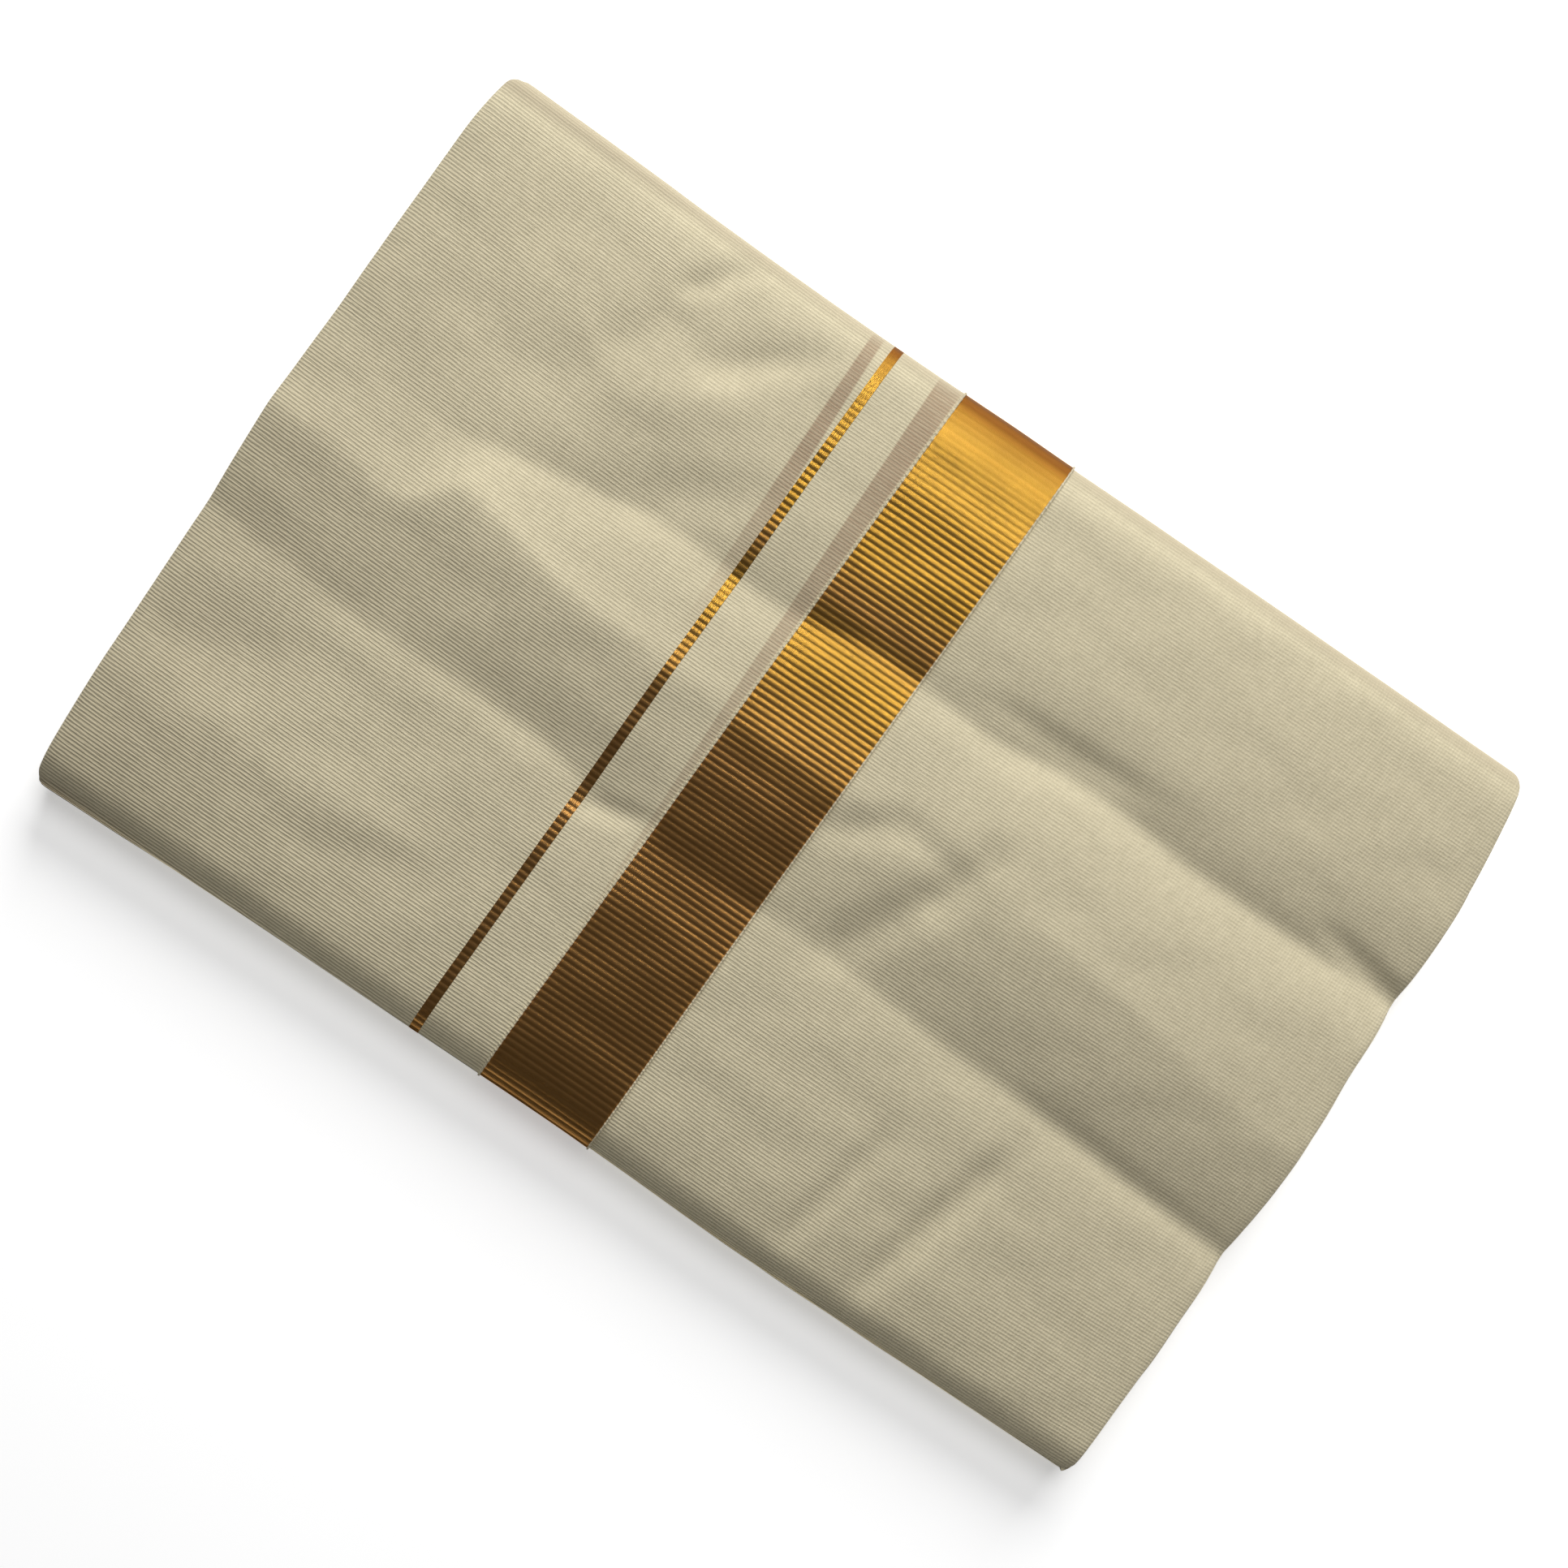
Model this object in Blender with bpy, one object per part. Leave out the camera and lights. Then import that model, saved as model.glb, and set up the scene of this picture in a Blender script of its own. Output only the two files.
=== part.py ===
"""A folded dhoti: one woven cotton cloth with a gold border, folded flat into a packet.

The cloth is folded across its width first, so that one selvage with its gold border ends on
top, about half way along the packet. The long folds then halve it four times, and the last
one closes the back edge. Metres, +Z up, X along the packet, Y across it towards the closed
fold, origin under the middle of the packet on the surface it lies on.
"""

import math

import bmesh
import bpy
import numpy as np

MM = 0.001

# Driving sizes of the folded packet
PACKET_LENGTH = 359.0 * MM
PACKET_DEPTH = 240.0 * MM
SLIT_HEIGHT = 8.8 * MM
EDGE_HEIGHT = 16.6 * MM
CROWN = 2.6 * MM
CORNER_RADIUS = {
    "left back": 3.4 * MM,
    "left front": 4.6 * MM,
    "right back": 6.0 * MM,
    "right front": 4.6 * MM,
}

# The rounding of the three long folds: how far each reaches along Y
BACK_ROLL = 8.0 * MM
UPPER_FRONT_ROLL = 9.5 * MM
LOWER_FRONT_ROLL = 5.5 * MM
UPPER_FRONT_INSET = 1.8 * MM
ROLL_STOP_DEG = 76.0

# Cloth walls and the play between them
CLOTH_WALL = 1.0 * MM
SEAM_GAP = 0.3 * MM
SELVAGE_STEP = 0.4 * MM
LIP_REACH = 4.5 * MM
LIP_DROP = 1.3 * MM
LIP_ROUND = 0.35 * MM

# The woven border, where it crosses the packet's middle line (Y = 0)
BORDER_SLANT = 0.018
SELVAGE_X = 15.2 * MM
BAND_WIDTH = 36.9 * MM
PLAIN_STRIP_WIDTH = 20.7 * MM
FINE_LINE_WIDTH = 3.1 * MM

# Weft ribs of the gold stretches, and the length of cloth that each set of them covers
RIB_PITCH = 2.03 * MM
RIB_HEIGHT = 0.24 * MM
UPPER_FRONT_GIRTH = 19.0 * MM
TOP_GIRTH = 220.5 * MM
BACK_GIRTH = 25.0 * MM
LOWER_FRONT_GIRTH = 11.0 * MM
BACK_RIBS_TURN_DEG = 160.0
LOWER_RIBS_FROM_DEG = -60.0

# Hidden leaves from the cover inwards: how far each one's fold stays back from the end, in mm
LEAF_SET_BACK = (0.5, 0.1, 0.9, 0.3, 1.2, 0.4, 0.8)
LEAF_GROOVE = 1.0 * MM
SLIT_GAP = 0.5 * MM

COTTON_COLOUR = (0.68, 0.62, 0.44, 1.0)
ZARI_COLOUR = (0.72, 0.42, 0.09, 1.0)

# The packet's plan: each edge read along the other axis, in millimetres
LEFT_EDGE = {
    "y": (-118.0, -95.0, -60.0, -20.0, 8.0, 40.0, 80.0, 105.0, 118.0),
    "x": (-175.6, -176.7, -177.6, -178.8, -179.5, -178.9, -178.2, -177.2, -176.0),
}
RIGHT_EDGE = {
    "y": (-118.0, -95.0, -60.0, -40.5, -25.0, -8.0, 20.0, 44.0, 62.0, 85.0, 105.0, 118.0),
    "x": (177.8, 178.2, 178.0, 177.4, 178.8, 179.5, 178.6, 176.8, 177.2, 176.2, 173.9, 172.0),
}
FRONT_EDGE = {
    "x": (-175.0, -100.0, -50.0, 0.0, 70.0, 140.0, 175.0),
    "y": (-120.0, -119.6, -118.6, -118.0, -118.0, -117.4, -116.9),
}
BACK_EDGE = {
    "x": (-175.0, -140.0, -105.0, -60.0, -32.0, -8.0, 14.0, 40.0, 100.0, 175.0),
    "y": (120.0, 119.0, 117.8, 117.0, 117.1, 117.8, 117.6, 117.2, 117.4, 117.0),
}

# The three long waves in the top, each a line across the packet with its depth along it;
# a negative depth is a ridge
BACK_TROUGH = {
    "x": (-175.0, -128.0, -95.0, -50.0, -20.0, 16.0, 45.0, 62.0, 79.0, 96.0, 135.0, 179.0),
    "y": (29.0, 29.5, 34.5, 36.0, 42.0, 42.5, 40.5, 42.5, 47.2, 45.0, 45.8, 45.0),
    "depth": (0.3, 0.7, 1.2, 1.5, 1.7, 1.7, 1.8, 2.1, 2.4, 2.2, 2.3, 2.4),
}
MIDDLE_RIDGE = {
    "x": (-175.0, -130.0, -119.0, -106.0, -80.0, -45.0, 16.0, 60.0, 120.0, 179.0),
    "y": (5.0, 2.5, 12.0, 13.0, 8.0, 4.0, 3.0, 8.0, 6.0, 2.0),
    "depth": (-0.9, -1.2, -1.7, -1.8, -1.6, -1.3, -1.1, -0.9, -0.9, -0.8),
}
FRONT_TROUGH = {
    "x": (-179.0, -120.0, -90.0, -50.0, -36.0, -10.0, 20.0, 70.0, 105.0, 140.0, 179.0),
    "y": (-25.0, -29.5, -26.0, -26.0, -33.0, -36.5, -32.0, -31.0, -31.0, -36.8, -40.8),
    "depth": (1.0, 1.0, 1.0, 1.1, 1.3, 1.3, 1.4, 1.6, 1.9, 2.4, 2.6),
}
# Reach of each wave on its back side and its front side, and how round its bottom is
WAVES = (
    {"line": BACK_TROUGH, "reach_back": 9.0, "reach_front": 15.0, "roundness": 0.25},
    {"line": MIDDLE_RIDGE, "reach_back": 13.0, "reach_front": 14.0, "roundness": 0.6},
    {"line": FRONT_TROUGH, "reach_back": 13.0, "reach_front": 9.0, "roundness": 0.25},
)
# Short creases: straight lines that fade at both ends; a negative depth is a ridge
SHORT_CREASES = (
    {"start": (-88.0, 111.0), "end": (-101.0, 95.0), "depth": 0.9, "reach": 4.0},
    {"start": (-62.0, 104.0), "end": (-86.0, 84.0), "depth": 1.2, "reach": 5.5},
    {"start": (-101.0, 90.0), "end": (-119.0, 55.0), "depth": 1.1, "reach": 7.0},
    {"start": (-74.0, 76.0), "end": (-104.0, 60.0), "depth": -0.8, "reach": 7.0},
    {"start": (57.0, 11.0), "end": (46.0, -20.0), "depth": 1.2, "reach": 4.5},
    {"start": (24.0, 6.0), "end": (44.0, 2.0), "depth": -1.0, "reach": 5.5},
    {"start": (113.0, -50.0), "end": (98.0, -108.0), "depth": 1.2, "reach": 5.0},
    {"start": (79.0, -68.0), "end": (71.0, -110.0), "depth": 1.0, "reach": 4.0},
)

# Rows of the top from front to back: which wave each follows and how far from it, in mm
TOP_ROWS = (
    {"follows": "front", "offset": 8.0},
    {"follows": "front", "offset": 21.0},
    {"follows": "front", "offset": 36.0},
    {"follows": "front trough", "offset": -22.0},
    {"follows": "front trough", "offset": -13.0},
    {"follows": "front trough", "offset": -5.0},
    {"follows": "front trough", "offset": 0.0},
    {"follows": "front trough", "offset": 6.0},
    {"follows": "front trough", "offset": 15.0},
    {"follows": "middle ridge", "offset": -9.0},
    {"follows": "middle ridge", "offset": 0.0},
    {"follows": "middle ridge", "offset": 6.0},
    {"follows": "back trough", "offset": -10.0},
    {"follows": "back trough", "offset": -5.0},
    {"follows": "back trough", "offset": 0.0},
    {"follows": "back trough", "offset": 5.0},
    {"follows": "back trough", "offset": 13.0},
    {"follows": "back", "offset": -48.0},
    {"follows": "back", "offset": -32.0},
    {"follows": "back", "offset": -16.0},
    {"follows": "back", "offset": -6.0},
)
WAVE_OF_ROW = {
    "front trough": FRONT_TROUGH,
    "middle ridge": MIDDLE_RIDGE,
    "back trough": BACK_TROUGH,
}

# Rows of the three folds, as degrees round each, and of the underside as shares of the depth
UPPER_FRONT_TURNS = (-ROLL_STOP_DEG, -20.0, 20.0, 52.0, 90.0)
BACK_TURNS = (90.0, 62.0, 35.0, 0.0, -40.0, -90.0)
UNDER_SHARES = (0.2, -0.2)
LOWER_FRONT_TURNS = (-90.0, -35.0, 20.0, ROLL_STOP_DEG)

# Rows before and after the stretch whose ends show leaf folds, and from its start to the
# outermost row of the closed back fold
ROWS_BEFORE_LEAVES = 2
ROWS_AFTER_LEAVES = 1
LEAF_TURN = 27

# Columns of each stretch of the cloth, as shares of its width
FIELD_COLUMNS = (0.0, 0.006, 0.035, 0.12, 0.24, 0.33, 0.40, 0.47, 0.56, 0.66, 0.75, 0.85, 1.0)
LINE_COLUMNS = (0.0, 1.0)
STRIP_COLUMNS = (0.0, 0.5, 1.0)
SECOND_COLUMNS = (0.0, 0.08, 0.17, 0.25, 0.34, 0.45, 0.53, 0.61, 0.72, 0.84, 0.968, 0.994, 1.0)


def smooth_line(table, across, along, where):
    """The table's value at each place, through its points with an even slope at each."""
    knots = np.array(table[across]) * MM
    values = np.array(table[along]) * MM
    slopes = np.gradient(values, knots)
    where = np.clip(where, knots[0], knots[-1])
    i = np.clip(np.searchsorted(knots, where) - 1, 0, len(knots) - 2)
    span = knots[i + 1] - knots[i]
    t = (where - knots[i]) / span
    rise = values[i + 1] - values[i]
    bend = t * (1 - t) * ((slopes[i] * span - rise) * (1 - t) - (slopes[i + 1] * span - rise) * t)
    return values[i] + rise * t + bend


def wave_height(x, y, wave):
    """Height that one long wave adds: a soft V on each side of its line."""
    line = wave["line"]
    away = y - smooth_line(line, "x", "y", x)
    depth = smooth_line(line, "x", "depth", x)
    reach = np.where(away > 0, wave["reach_back"], wave["reach_front"]) * MM
    k = wave["roundness"]
    return -depth * np.exp(k - np.sqrt((away / reach) ** 2 + k * k))


def crease_height(x, y, crease):
    """Height that one short crease adds, fading along and across."""
    start = np.array(crease["start"]) * MM
    run = np.array(crease["end"]) * MM - start
    length = np.linalg.norm(run)
    along = ((x - start[0]) * run[0] + (y - start[1]) * run[1]) / length**2
    across = ((x - start[0]) * run[1] - (y - start[1]) * run[0]) / length
    fade = np.exp(-((2 * along - 1) ** 4) * 0.9)
    return -crease["depth"] * MM * fade * np.exp(-((across / (crease["reach"] * MM)) ** 2))


def top_height(x, y):
    """Height of the cloth's upper face over the point (x, y)."""
    u = np.clip(2 * x / PACKET_LENGTH, -1, 1)
    v = np.clip(2 * y / PACKET_DEPTH, -1, 1)
    height = EDGE_HEIGHT + CROWN * (1 - u**4) * (1 - v * v) ** 0.8
    for wave in WAVES:
        height = height + wave_height(x, y, wave)
    for crease in SHORT_CREASES:
        height = height + crease_height(x, y, crease)
    return height


def corner_inset(end, y):
    """How far a short edge draws in near a corner of the packet."""
    radius = CORNER_RADIUS[f"{end} {'back' if y > 0 else 'front'}"]
    t = min(1.0, max(0.0, (abs(y) - PACKET_DEPTH / 2 + radius) / radius))
    return radius * (1 - math.sqrt(1 - t * t))


def left_x(y):
    return float(smooth_line(LEFT_EDGE, "y", "x", y)) + corner_inset("left", y)


def right_x(y):
    return float(smooth_line(RIGHT_EDGE, "y", "x", y)) - corner_inset("right", y)


def border_x(from_selvage, y):
    """A line of the border that far left of the selvage: all of them slant alike."""
    return SELVAGE_X - from_selvage + BORDER_SLANT * y


class Column:
    """One line of the cloth that runs round the packet, at a share of a stretch's width."""

    def __init__(self, left, right, share, depth=0.0, lip_from_end=None):
        self.left = left
        self.right = right
        self.share = share
        self.depth = depth
        self.lip_from_end = lip_from_end
        middle = self.x(0.0)
        self.front = float(smooth_line(FRONT_EDGE, "x", "y", middle))
        self.back = float(smooth_line(BACK_EDGE, "x", "y", middle))
        self.upper_front = self.front + UPPER_FRONT_INSET

    def x(self, y):
        return self.left(y) * (1 - self.share) + self.right(y) * self.share

    def row_y(self, row):
        """Where a row of the top crosses this column."""
        first = self.upper_front + UPPER_FRONT_ROLL
        last = self.back - BACK_ROLL
        if row["follows"] == "front":
            y = first + row["offset"] * MM
        elif row["follows"] == "back":
            y = last + row["offset"] * MM
        else:
            line = WAVE_OF_ROW[row["follows"]]
            y = float(smooth_line(line, "x", "y", self.x(0.0))) + row["offset"] * MM
        return min(max(y, first), last)

    def height(self, y):
        """Upper face of the cloth at this column, without what lies over it."""
        drop = 0.0
        if self.lip_from_end is not None:
            t = 1 - min(1.0, self.lip_from_end / LIP_REACH)
            drop = LIP_DROP * (1 - math.sqrt(1 - t * t))
        return float(top_height(self.x(y), y)) - self.depth - drop

    def upper_roll(self, degrees, inwards):
        """A point on the upper front fold, from under it to its top."""
        angle = math.radians(degrees)
        y = self.upper_front + UPPER_FRONT_ROLL
        low = SLIT_HEIGHT + SLIT_GAP / 2
        half = (self.height(y) - low) / 2
        return self.place(
            y - (UPPER_FRONT_ROLL - inwards) * math.cos(angle),
            low + half + (half - inwards) * math.sin(angle),
        )

    def back_roll(self, degrees, inwards):
        """A point on the closed back fold, from its top to its underside."""
        angle = math.radians(degrees)
        y = self.back - BACK_ROLL
        half = self.height(y) / 2
        return self.place(
            y + (BACK_ROLL - inwards) * math.cos(angle),
            half + (half - inwards) * math.sin(angle),
        )

    def lower_roll(self, degrees, inwards):
        """A point on the lower front fold, from its underside upwards."""
        angle = math.radians(degrees)
        half = (SLIT_HEIGHT - SLIT_GAP / 2) / 2
        return self.place(
            self.front + LOWER_FRONT_ROLL - (LOWER_FRONT_ROLL - inwards) * math.cos(angle),
            half + (half - inwards) * math.sin(angle),
        )

    def slit_mouth(self):
        """The two points where the front slit ends, between the two rolls."""
        y = self.upper_front + UPPER_FRONT_ROLL
        return self.place(y, SLIT_HEIGHT + SLIT_GAP / 2), self.place(y, SLIT_HEIGHT - SLIT_GAP / 2)

    def top(self, y, inwards):
        return self.place(y, self.height(y) - inwards)

    def under(self, y, inwards):
        return self.place(y, inwards)

    def place(self, y, z):
        return (self.x(y), y, z)

    def path(self, inwards):
        """The line round the packet, from the slit over the top and back under it."""
        points = [self.upper_roll(turn, inwards) for turn in UPPER_FRONT_TURNS]
        points += [self.top(self.row_y(row), inwards) for row in TOP_ROWS]
        points += [self.back_roll(turn, inwards) for turn in BACK_TURNS]
        points += [self.under(share * PACKET_DEPTH, inwards) for share in UNDER_SHARES]
        return points + [self.lower_roll(turn, inwards) for turn in LOWER_FRONT_TURNS]


def ribs(length, point):
    """A crest and a hollow every rib pitch along a stretch, each point moved out or in."""
    steps = 2 * round(length / RIB_PITCH)
    return [point(i / steps, RIB_HEIGHT / 2 * (-1) ** i) for i in range(steps + 1)]


def ribbed_path(column):
    """The same line with its weft ribs, except on the underside that rests flat."""
    first = column.upper_front + UPPER_FRONT_ROLL
    last = column.back - BACK_ROLL

    def upper(share, inwards):
        return column.upper_roll((90 + ROLL_STOP_DEG) * share - ROLL_STOP_DEG, inwards)

    def top(share, inwards):
        return column.top(first + (last - first) * share, inwards)

    def back(share, inwards):
        return column.back_roll(90 - BACK_RIBS_TURN_DEG * share, inwards)

    def lower(share, inwards):
        turn = ROLL_STOP_DEG - LOWER_RIBS_FROM_DEG
        return column.lower_roll(LOWER_RIBS_FROM_DEG + turn * share, max(inwards, 0))

    points = ribs(UPPER_FRONT_GIRTH, upper)[:-1] + ribs(TOP_GIRTH, top)[:-1]
    points += ribs(BACK_GIRTH, back) + [column.back_roll(-90, 0)]
    points += [column.under(share * PACKET_DEPTH, 0) for share in UNDER_SHARES]
    return points + [column.lower_roll(-90, 0)] + ribs(LOWER_FRONT_GIRTH, lower)


def split_alike(paths, step):
    """The same lines with their long parts split evenly, all at the same shares."""
    lines = [[path[0]] for path in paths]
    for k in range(1, len(paths[0])):
        count = math.ceil(math.dist(paths[0][k - 1], paths[0][k]) / step)
        for line, path in zip(lines, paths):
            a, b = np.array(path[k - 1]), np.array(path[k])
            line.extend(a + (b - a) * i / count for i in range(1, count + 1))
    return lines


def add_object(name, points, faces, material):
    mesh = bpy.data.meshes.new(name)
    mesh.from_pydata(points, [], faces)
    work = bmesh.new()
    work.from_mesh(mesh)
    bmesh.ops.recalc_face_normals(work, faces=work.faces)
    work.to_mesh(mesh)
    work.free()
    mesh.materials.append(material)
    mesh.shade_smooth()
    mesh.set_sharp_from_angle(angle=math.radians(40))
    obj = bpy.data.objects.new(name, mesh)
    bpy.context.scene.collection.objects.link(obj)
    return obj


class Surface:
    """Points and faces of one closed body while it is put together."""

    def __init__(self):
        self.points = []
        self.faces = []

    def line(self, places):
        """Adds a line of points and returns their numbers."""
        first = len(self.points)
        self.points.extend(tuple(float(c) for c in place) for place in places)
        return list(range(first, len(self.points)))

    def sheet(self, lines):
        """Two triangles for each step between neighbouring lines, always split alike."""
        for near, far in zip(lines, lines[1:]):
            for i in range(len(near) - 1):
                self.faces.append((near[i], far[i], far[i + 1]))
                self.faces.append((near[i], far[i + 1], near[i + 1]))

    def zip(self, left, right):
        """Triangles between two lines with different counts, each with the shorter diagonal."""
        i = j = 0
        while i < len(left) - 1 or j < len(right) - 1:
            if j == len(right) - 1:
                go_left = True
            elif i == len(left) - 1:
                go_left = False
            else:
                go_left = self.apart(left[i + 1], right[j]) < self.apart(left[i], right[j + 1])
            if go_left:
                face = (left[i], left[i + 1], right[j])
                i += 1
            else:
                face = (left[i], right[j + 1], right[j])
                j += 1
            if len(set(face)) == 3:
                self.faces.append(face)

    def apart(self, a, b):
        return math.dist(self.points[a], self.points[b])

    def rounded(self, a, b, reach):
        """A line midway between two lines with as many points, moved along X."""
        middle = (np.array([self.points[n] for n in a]) + [self.points[n] for n in b]) / 2
        return self.line(middle + [reach, 0.0, 0.0])


def cloth_wall(name, columns, material, ribbed=False, round_end=None):
    """A closed wall of cloth round the packet: an outer face, an inner face and four edges."""
    wall = Surface()
    outer = [wall.line(ribbed_path(c) if ribbed else c.path(0.0)) for c in columns]
    lining = [c.path(CLOTH_WALL) for c in columns]
    if ribbed:
        lining = split_alike(lining, 3 * RIB_PITCH)
    inner = [wall.line(path) for path in lining]
    wall.sheet(outer)
    wall.sheet(inner)
    for end, side in ((0, -1), (-1, 1)):
        a, b = outer[end], inner[end]
        if round_end == end:
            edge = wall.rounded(a, b, side * LIP_ROUND)
            wall.sheet([a, edge, b])
            wall.faces.append((a[0], edge[0], b[0]))
            wall.faces.append((a[-1], edge[-1], b[-1]))
        else:
            wall.zip(a, b)
    wall.sheet([[line[0] for line in outer], [line[0] for line in inner]])
    wall.sheet([[line[-1] for line in outer], [line[-1] for line in inner]])
    return add_object(name, wall.points, wall.faces, material)


def border_line(from_selvage, side=0):
    """A line of the border as a function of y, moved half a seam gap to one side."""
    return lambda y: border_x(from_selvage, y) + side * SEAM_GAP / 2


def stretches():
    """The columns of the four stretches of the top layer and of the second layer."""
    band_left = BAND_WIDTH
    line_right = band_left + PLAIN_STRIP_WIDTH
    line_left = line_right + FINE_LINE_WIDTH
    field_width = border_x(line_left, 0.0) - left_x(0.0)
    second_width = right_x(0.0) - SELVAGE_X
    field = [
        Column(left_x, border_line(line_left, -1), share, lip_from_end=share * field_width)
        for share in FIELD_COLUMNS
    ]
    second = [
        Column(border_line(0.0, 1), right_x, share, SELVAGE_STEP, (1 - share) * second_width)
        for share in SECOND_COLUMNS
    ]

    def between(left, right, shares):
        return [Column(border_line(left, 1), border_line(right, -1), share) for share in shares]

    fine = between(line_left, line_right, LINE_COLUMNS)
    strip = between(line_right, band_left, STRIP_COLUMNS)
    band = between(band_left, 0.0, STRIP_COLUMNS)
    return field, fine, strip, band, second


def hidden_layers(material, columns):
    """All the leaves inside as one rounded body: their folds show as lips at both short ends."""
    body = Surface()
    outer = []
    for column in columns:
        upper, lower = column.slit_mouth()
        outer.append(body.line([upper] + column.path(CLOTH_WALL + SEAM_GAP) + [lower]))
    body.sheet(outer)
    body.sheet([[line[0] for line in outer], [line[-1] for line in outer]])
    for column, first, side in ((columns[0], outer[0], -1), (columns[-1], outer[-1], 1)):
        mouth, start, below = first[:3]
        end, lower_mouth = first[-2:]
        lips = [first[1 + ROWS_BEFORE_LEAVES : -1 - ROWS_AFTER_LEAVES]]
        leaves = LEAF_SET_BACK if side > 0 else LEAF_SET_BACK[::-1]
        for leaf, set_back in enumerate(leaves):
            groove = -side * (set_back * MM + LEAF_GROOVE)
            edge = -side * set_back * MM
            lips.append(body.line(leaf_line(column, (leaf + 0.5) / len(leaves), groove)))
            lips.append(body.line(leaf_line(column, (leaf + 1) / len(leaves), edge)))
        body.sheet(lips)
        last = lips[-1]
        body.faces.append((start, below, lips[0][0]))
        for near, far in zip(lips, lips[1:]):
            body.faces.append((start, near[0], far[0]))
            body.faces.append((end, far[-1], near[-1]))
        body.faces.append((mouth, start, last[0]))
        body.faces.append((lower_mouth, last[-1], end))
        body.faces.append((mouth, last[0], last[-1], lower_mouth))
        body.zip(last[: LEAF_TURN + 1], last[: LEAF_TURN - 1 : -1])
    return add_object("hidden_layers", body.points, body.faces, material)


def leaf_line(column, share, reach):
    """A leaf fold round the packet's end, at a share of the way in to the slit."""
    outside = column.path(CLOTH_WALL + SEAM_GAP)
    outside = np.array(outside[ROWS_BEFORE_LEAVES:-ROWS_AFTER_LEAVES])
    steps = np.linalg.norm(np.diff(outside[:, 1:], axis=0), axis=1)
    run = np.concatenate([[0.0], np.cumsum(steps)])
    half = run[LEAF_TURN]
    along = np.where(run < half, run / half, (run[-1] - run) / (run[-1] - half))
    mouth = column.slit_mouth()[0][1] + 4 * SLIT_GAP
    inside = outside.copy()
    inside[:, 1] = mouth + (column.back - BACK_ROLL - mouth) * along
    inside[:, 2] = SLIT_HEIGHT
    inside[:LEAF_TURN, 2] += SLIT_GAP
    inside[LEAF_TURN + 1 :, 2] -= SLIT_GAP
    line = outside * (1 - share) + inside * share
    line[:, 0] = outside[:, 0] + reach
    return line


def finish(name, colour, roughness, metallic):
    material = bpy.data.materials.new(name)
    material.use_nodes = True
    shader = material.node_tree.nodes["Principled BSDF"]
    shader.inputs["Base Color"].default_value = colour
    shader.inputs["Roughness"].default_value = roughness
    shader.inputs["Metallic"].default_value = metallic
    material.diffuse_color = colour
    return material


def main():
    for obj in list(bpy.data.objects):
        bpy.data.objects.remove(obj)
    cotton = finish("unbleached cotton", COTTON_COLOUR, 0.85, 0.0)
    zari = finish("gold zari", ZARI_COLOUR, 0.38, 1.0)
    field, fine, strip, band, second = stretches()
    cloth_wall("top_layer_field", field, cotton, round_end=0)
    cloth_wall("zari_fine_line", fine, zari, ribbed=True)
    cloth_wall("top_layer_strip", strip, cotton)
    cloth_wall("zari_border_band", band, zari, ribbed=True)
    cloth_wall("second_layer", second, cotton, round_end=-1)
    hidden_layers(cotton, field[1:] + strip + band + second[:-1])


main()
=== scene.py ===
# %% [markdown]
# # A folded dhoti
#
# A dhoti is one long length of cotton, cream, with a gold border woven along its edges. This
# one is folded for a shelf. The weaver's cloth is first folded across its width, so that one
# selvage with its border ends on top, and then halved four times along its length. What is
# left is a soft packet about 359 by 240 by 20 mm.
#
# This lesson dresses a plain solid model of that packet. Each stretch of the cloth becomes a
# thin shell with its creases, ribs and threads. The first cell loads the solid model, which
# never moves.

import math

import bmesh
import bpy
import numpy as np
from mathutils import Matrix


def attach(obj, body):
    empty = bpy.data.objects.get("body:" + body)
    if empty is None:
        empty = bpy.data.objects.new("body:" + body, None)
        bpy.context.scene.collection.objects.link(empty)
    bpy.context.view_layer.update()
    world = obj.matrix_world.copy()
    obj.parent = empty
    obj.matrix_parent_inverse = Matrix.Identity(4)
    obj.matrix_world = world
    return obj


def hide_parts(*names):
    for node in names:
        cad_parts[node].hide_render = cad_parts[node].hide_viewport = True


MM = 0.001

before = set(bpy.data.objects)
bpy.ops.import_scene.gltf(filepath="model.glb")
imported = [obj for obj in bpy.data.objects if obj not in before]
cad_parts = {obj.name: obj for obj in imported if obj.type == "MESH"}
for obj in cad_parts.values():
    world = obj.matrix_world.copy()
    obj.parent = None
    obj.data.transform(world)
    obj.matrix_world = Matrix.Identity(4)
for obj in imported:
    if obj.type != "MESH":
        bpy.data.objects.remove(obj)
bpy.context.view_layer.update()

# %% [markdown]
# ## Sizes of the packet
#
# Everything is worked out from these sizes. The four edges of the packet aren't straight: each
# is a short table, read as a smooth line through its points. The corners are rounded, each with
# its own radius from where the long fold lies. The closed fold at the back is squarish over the
# whole height, and those at the front are two rounded bundles with a slit between them.

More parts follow.
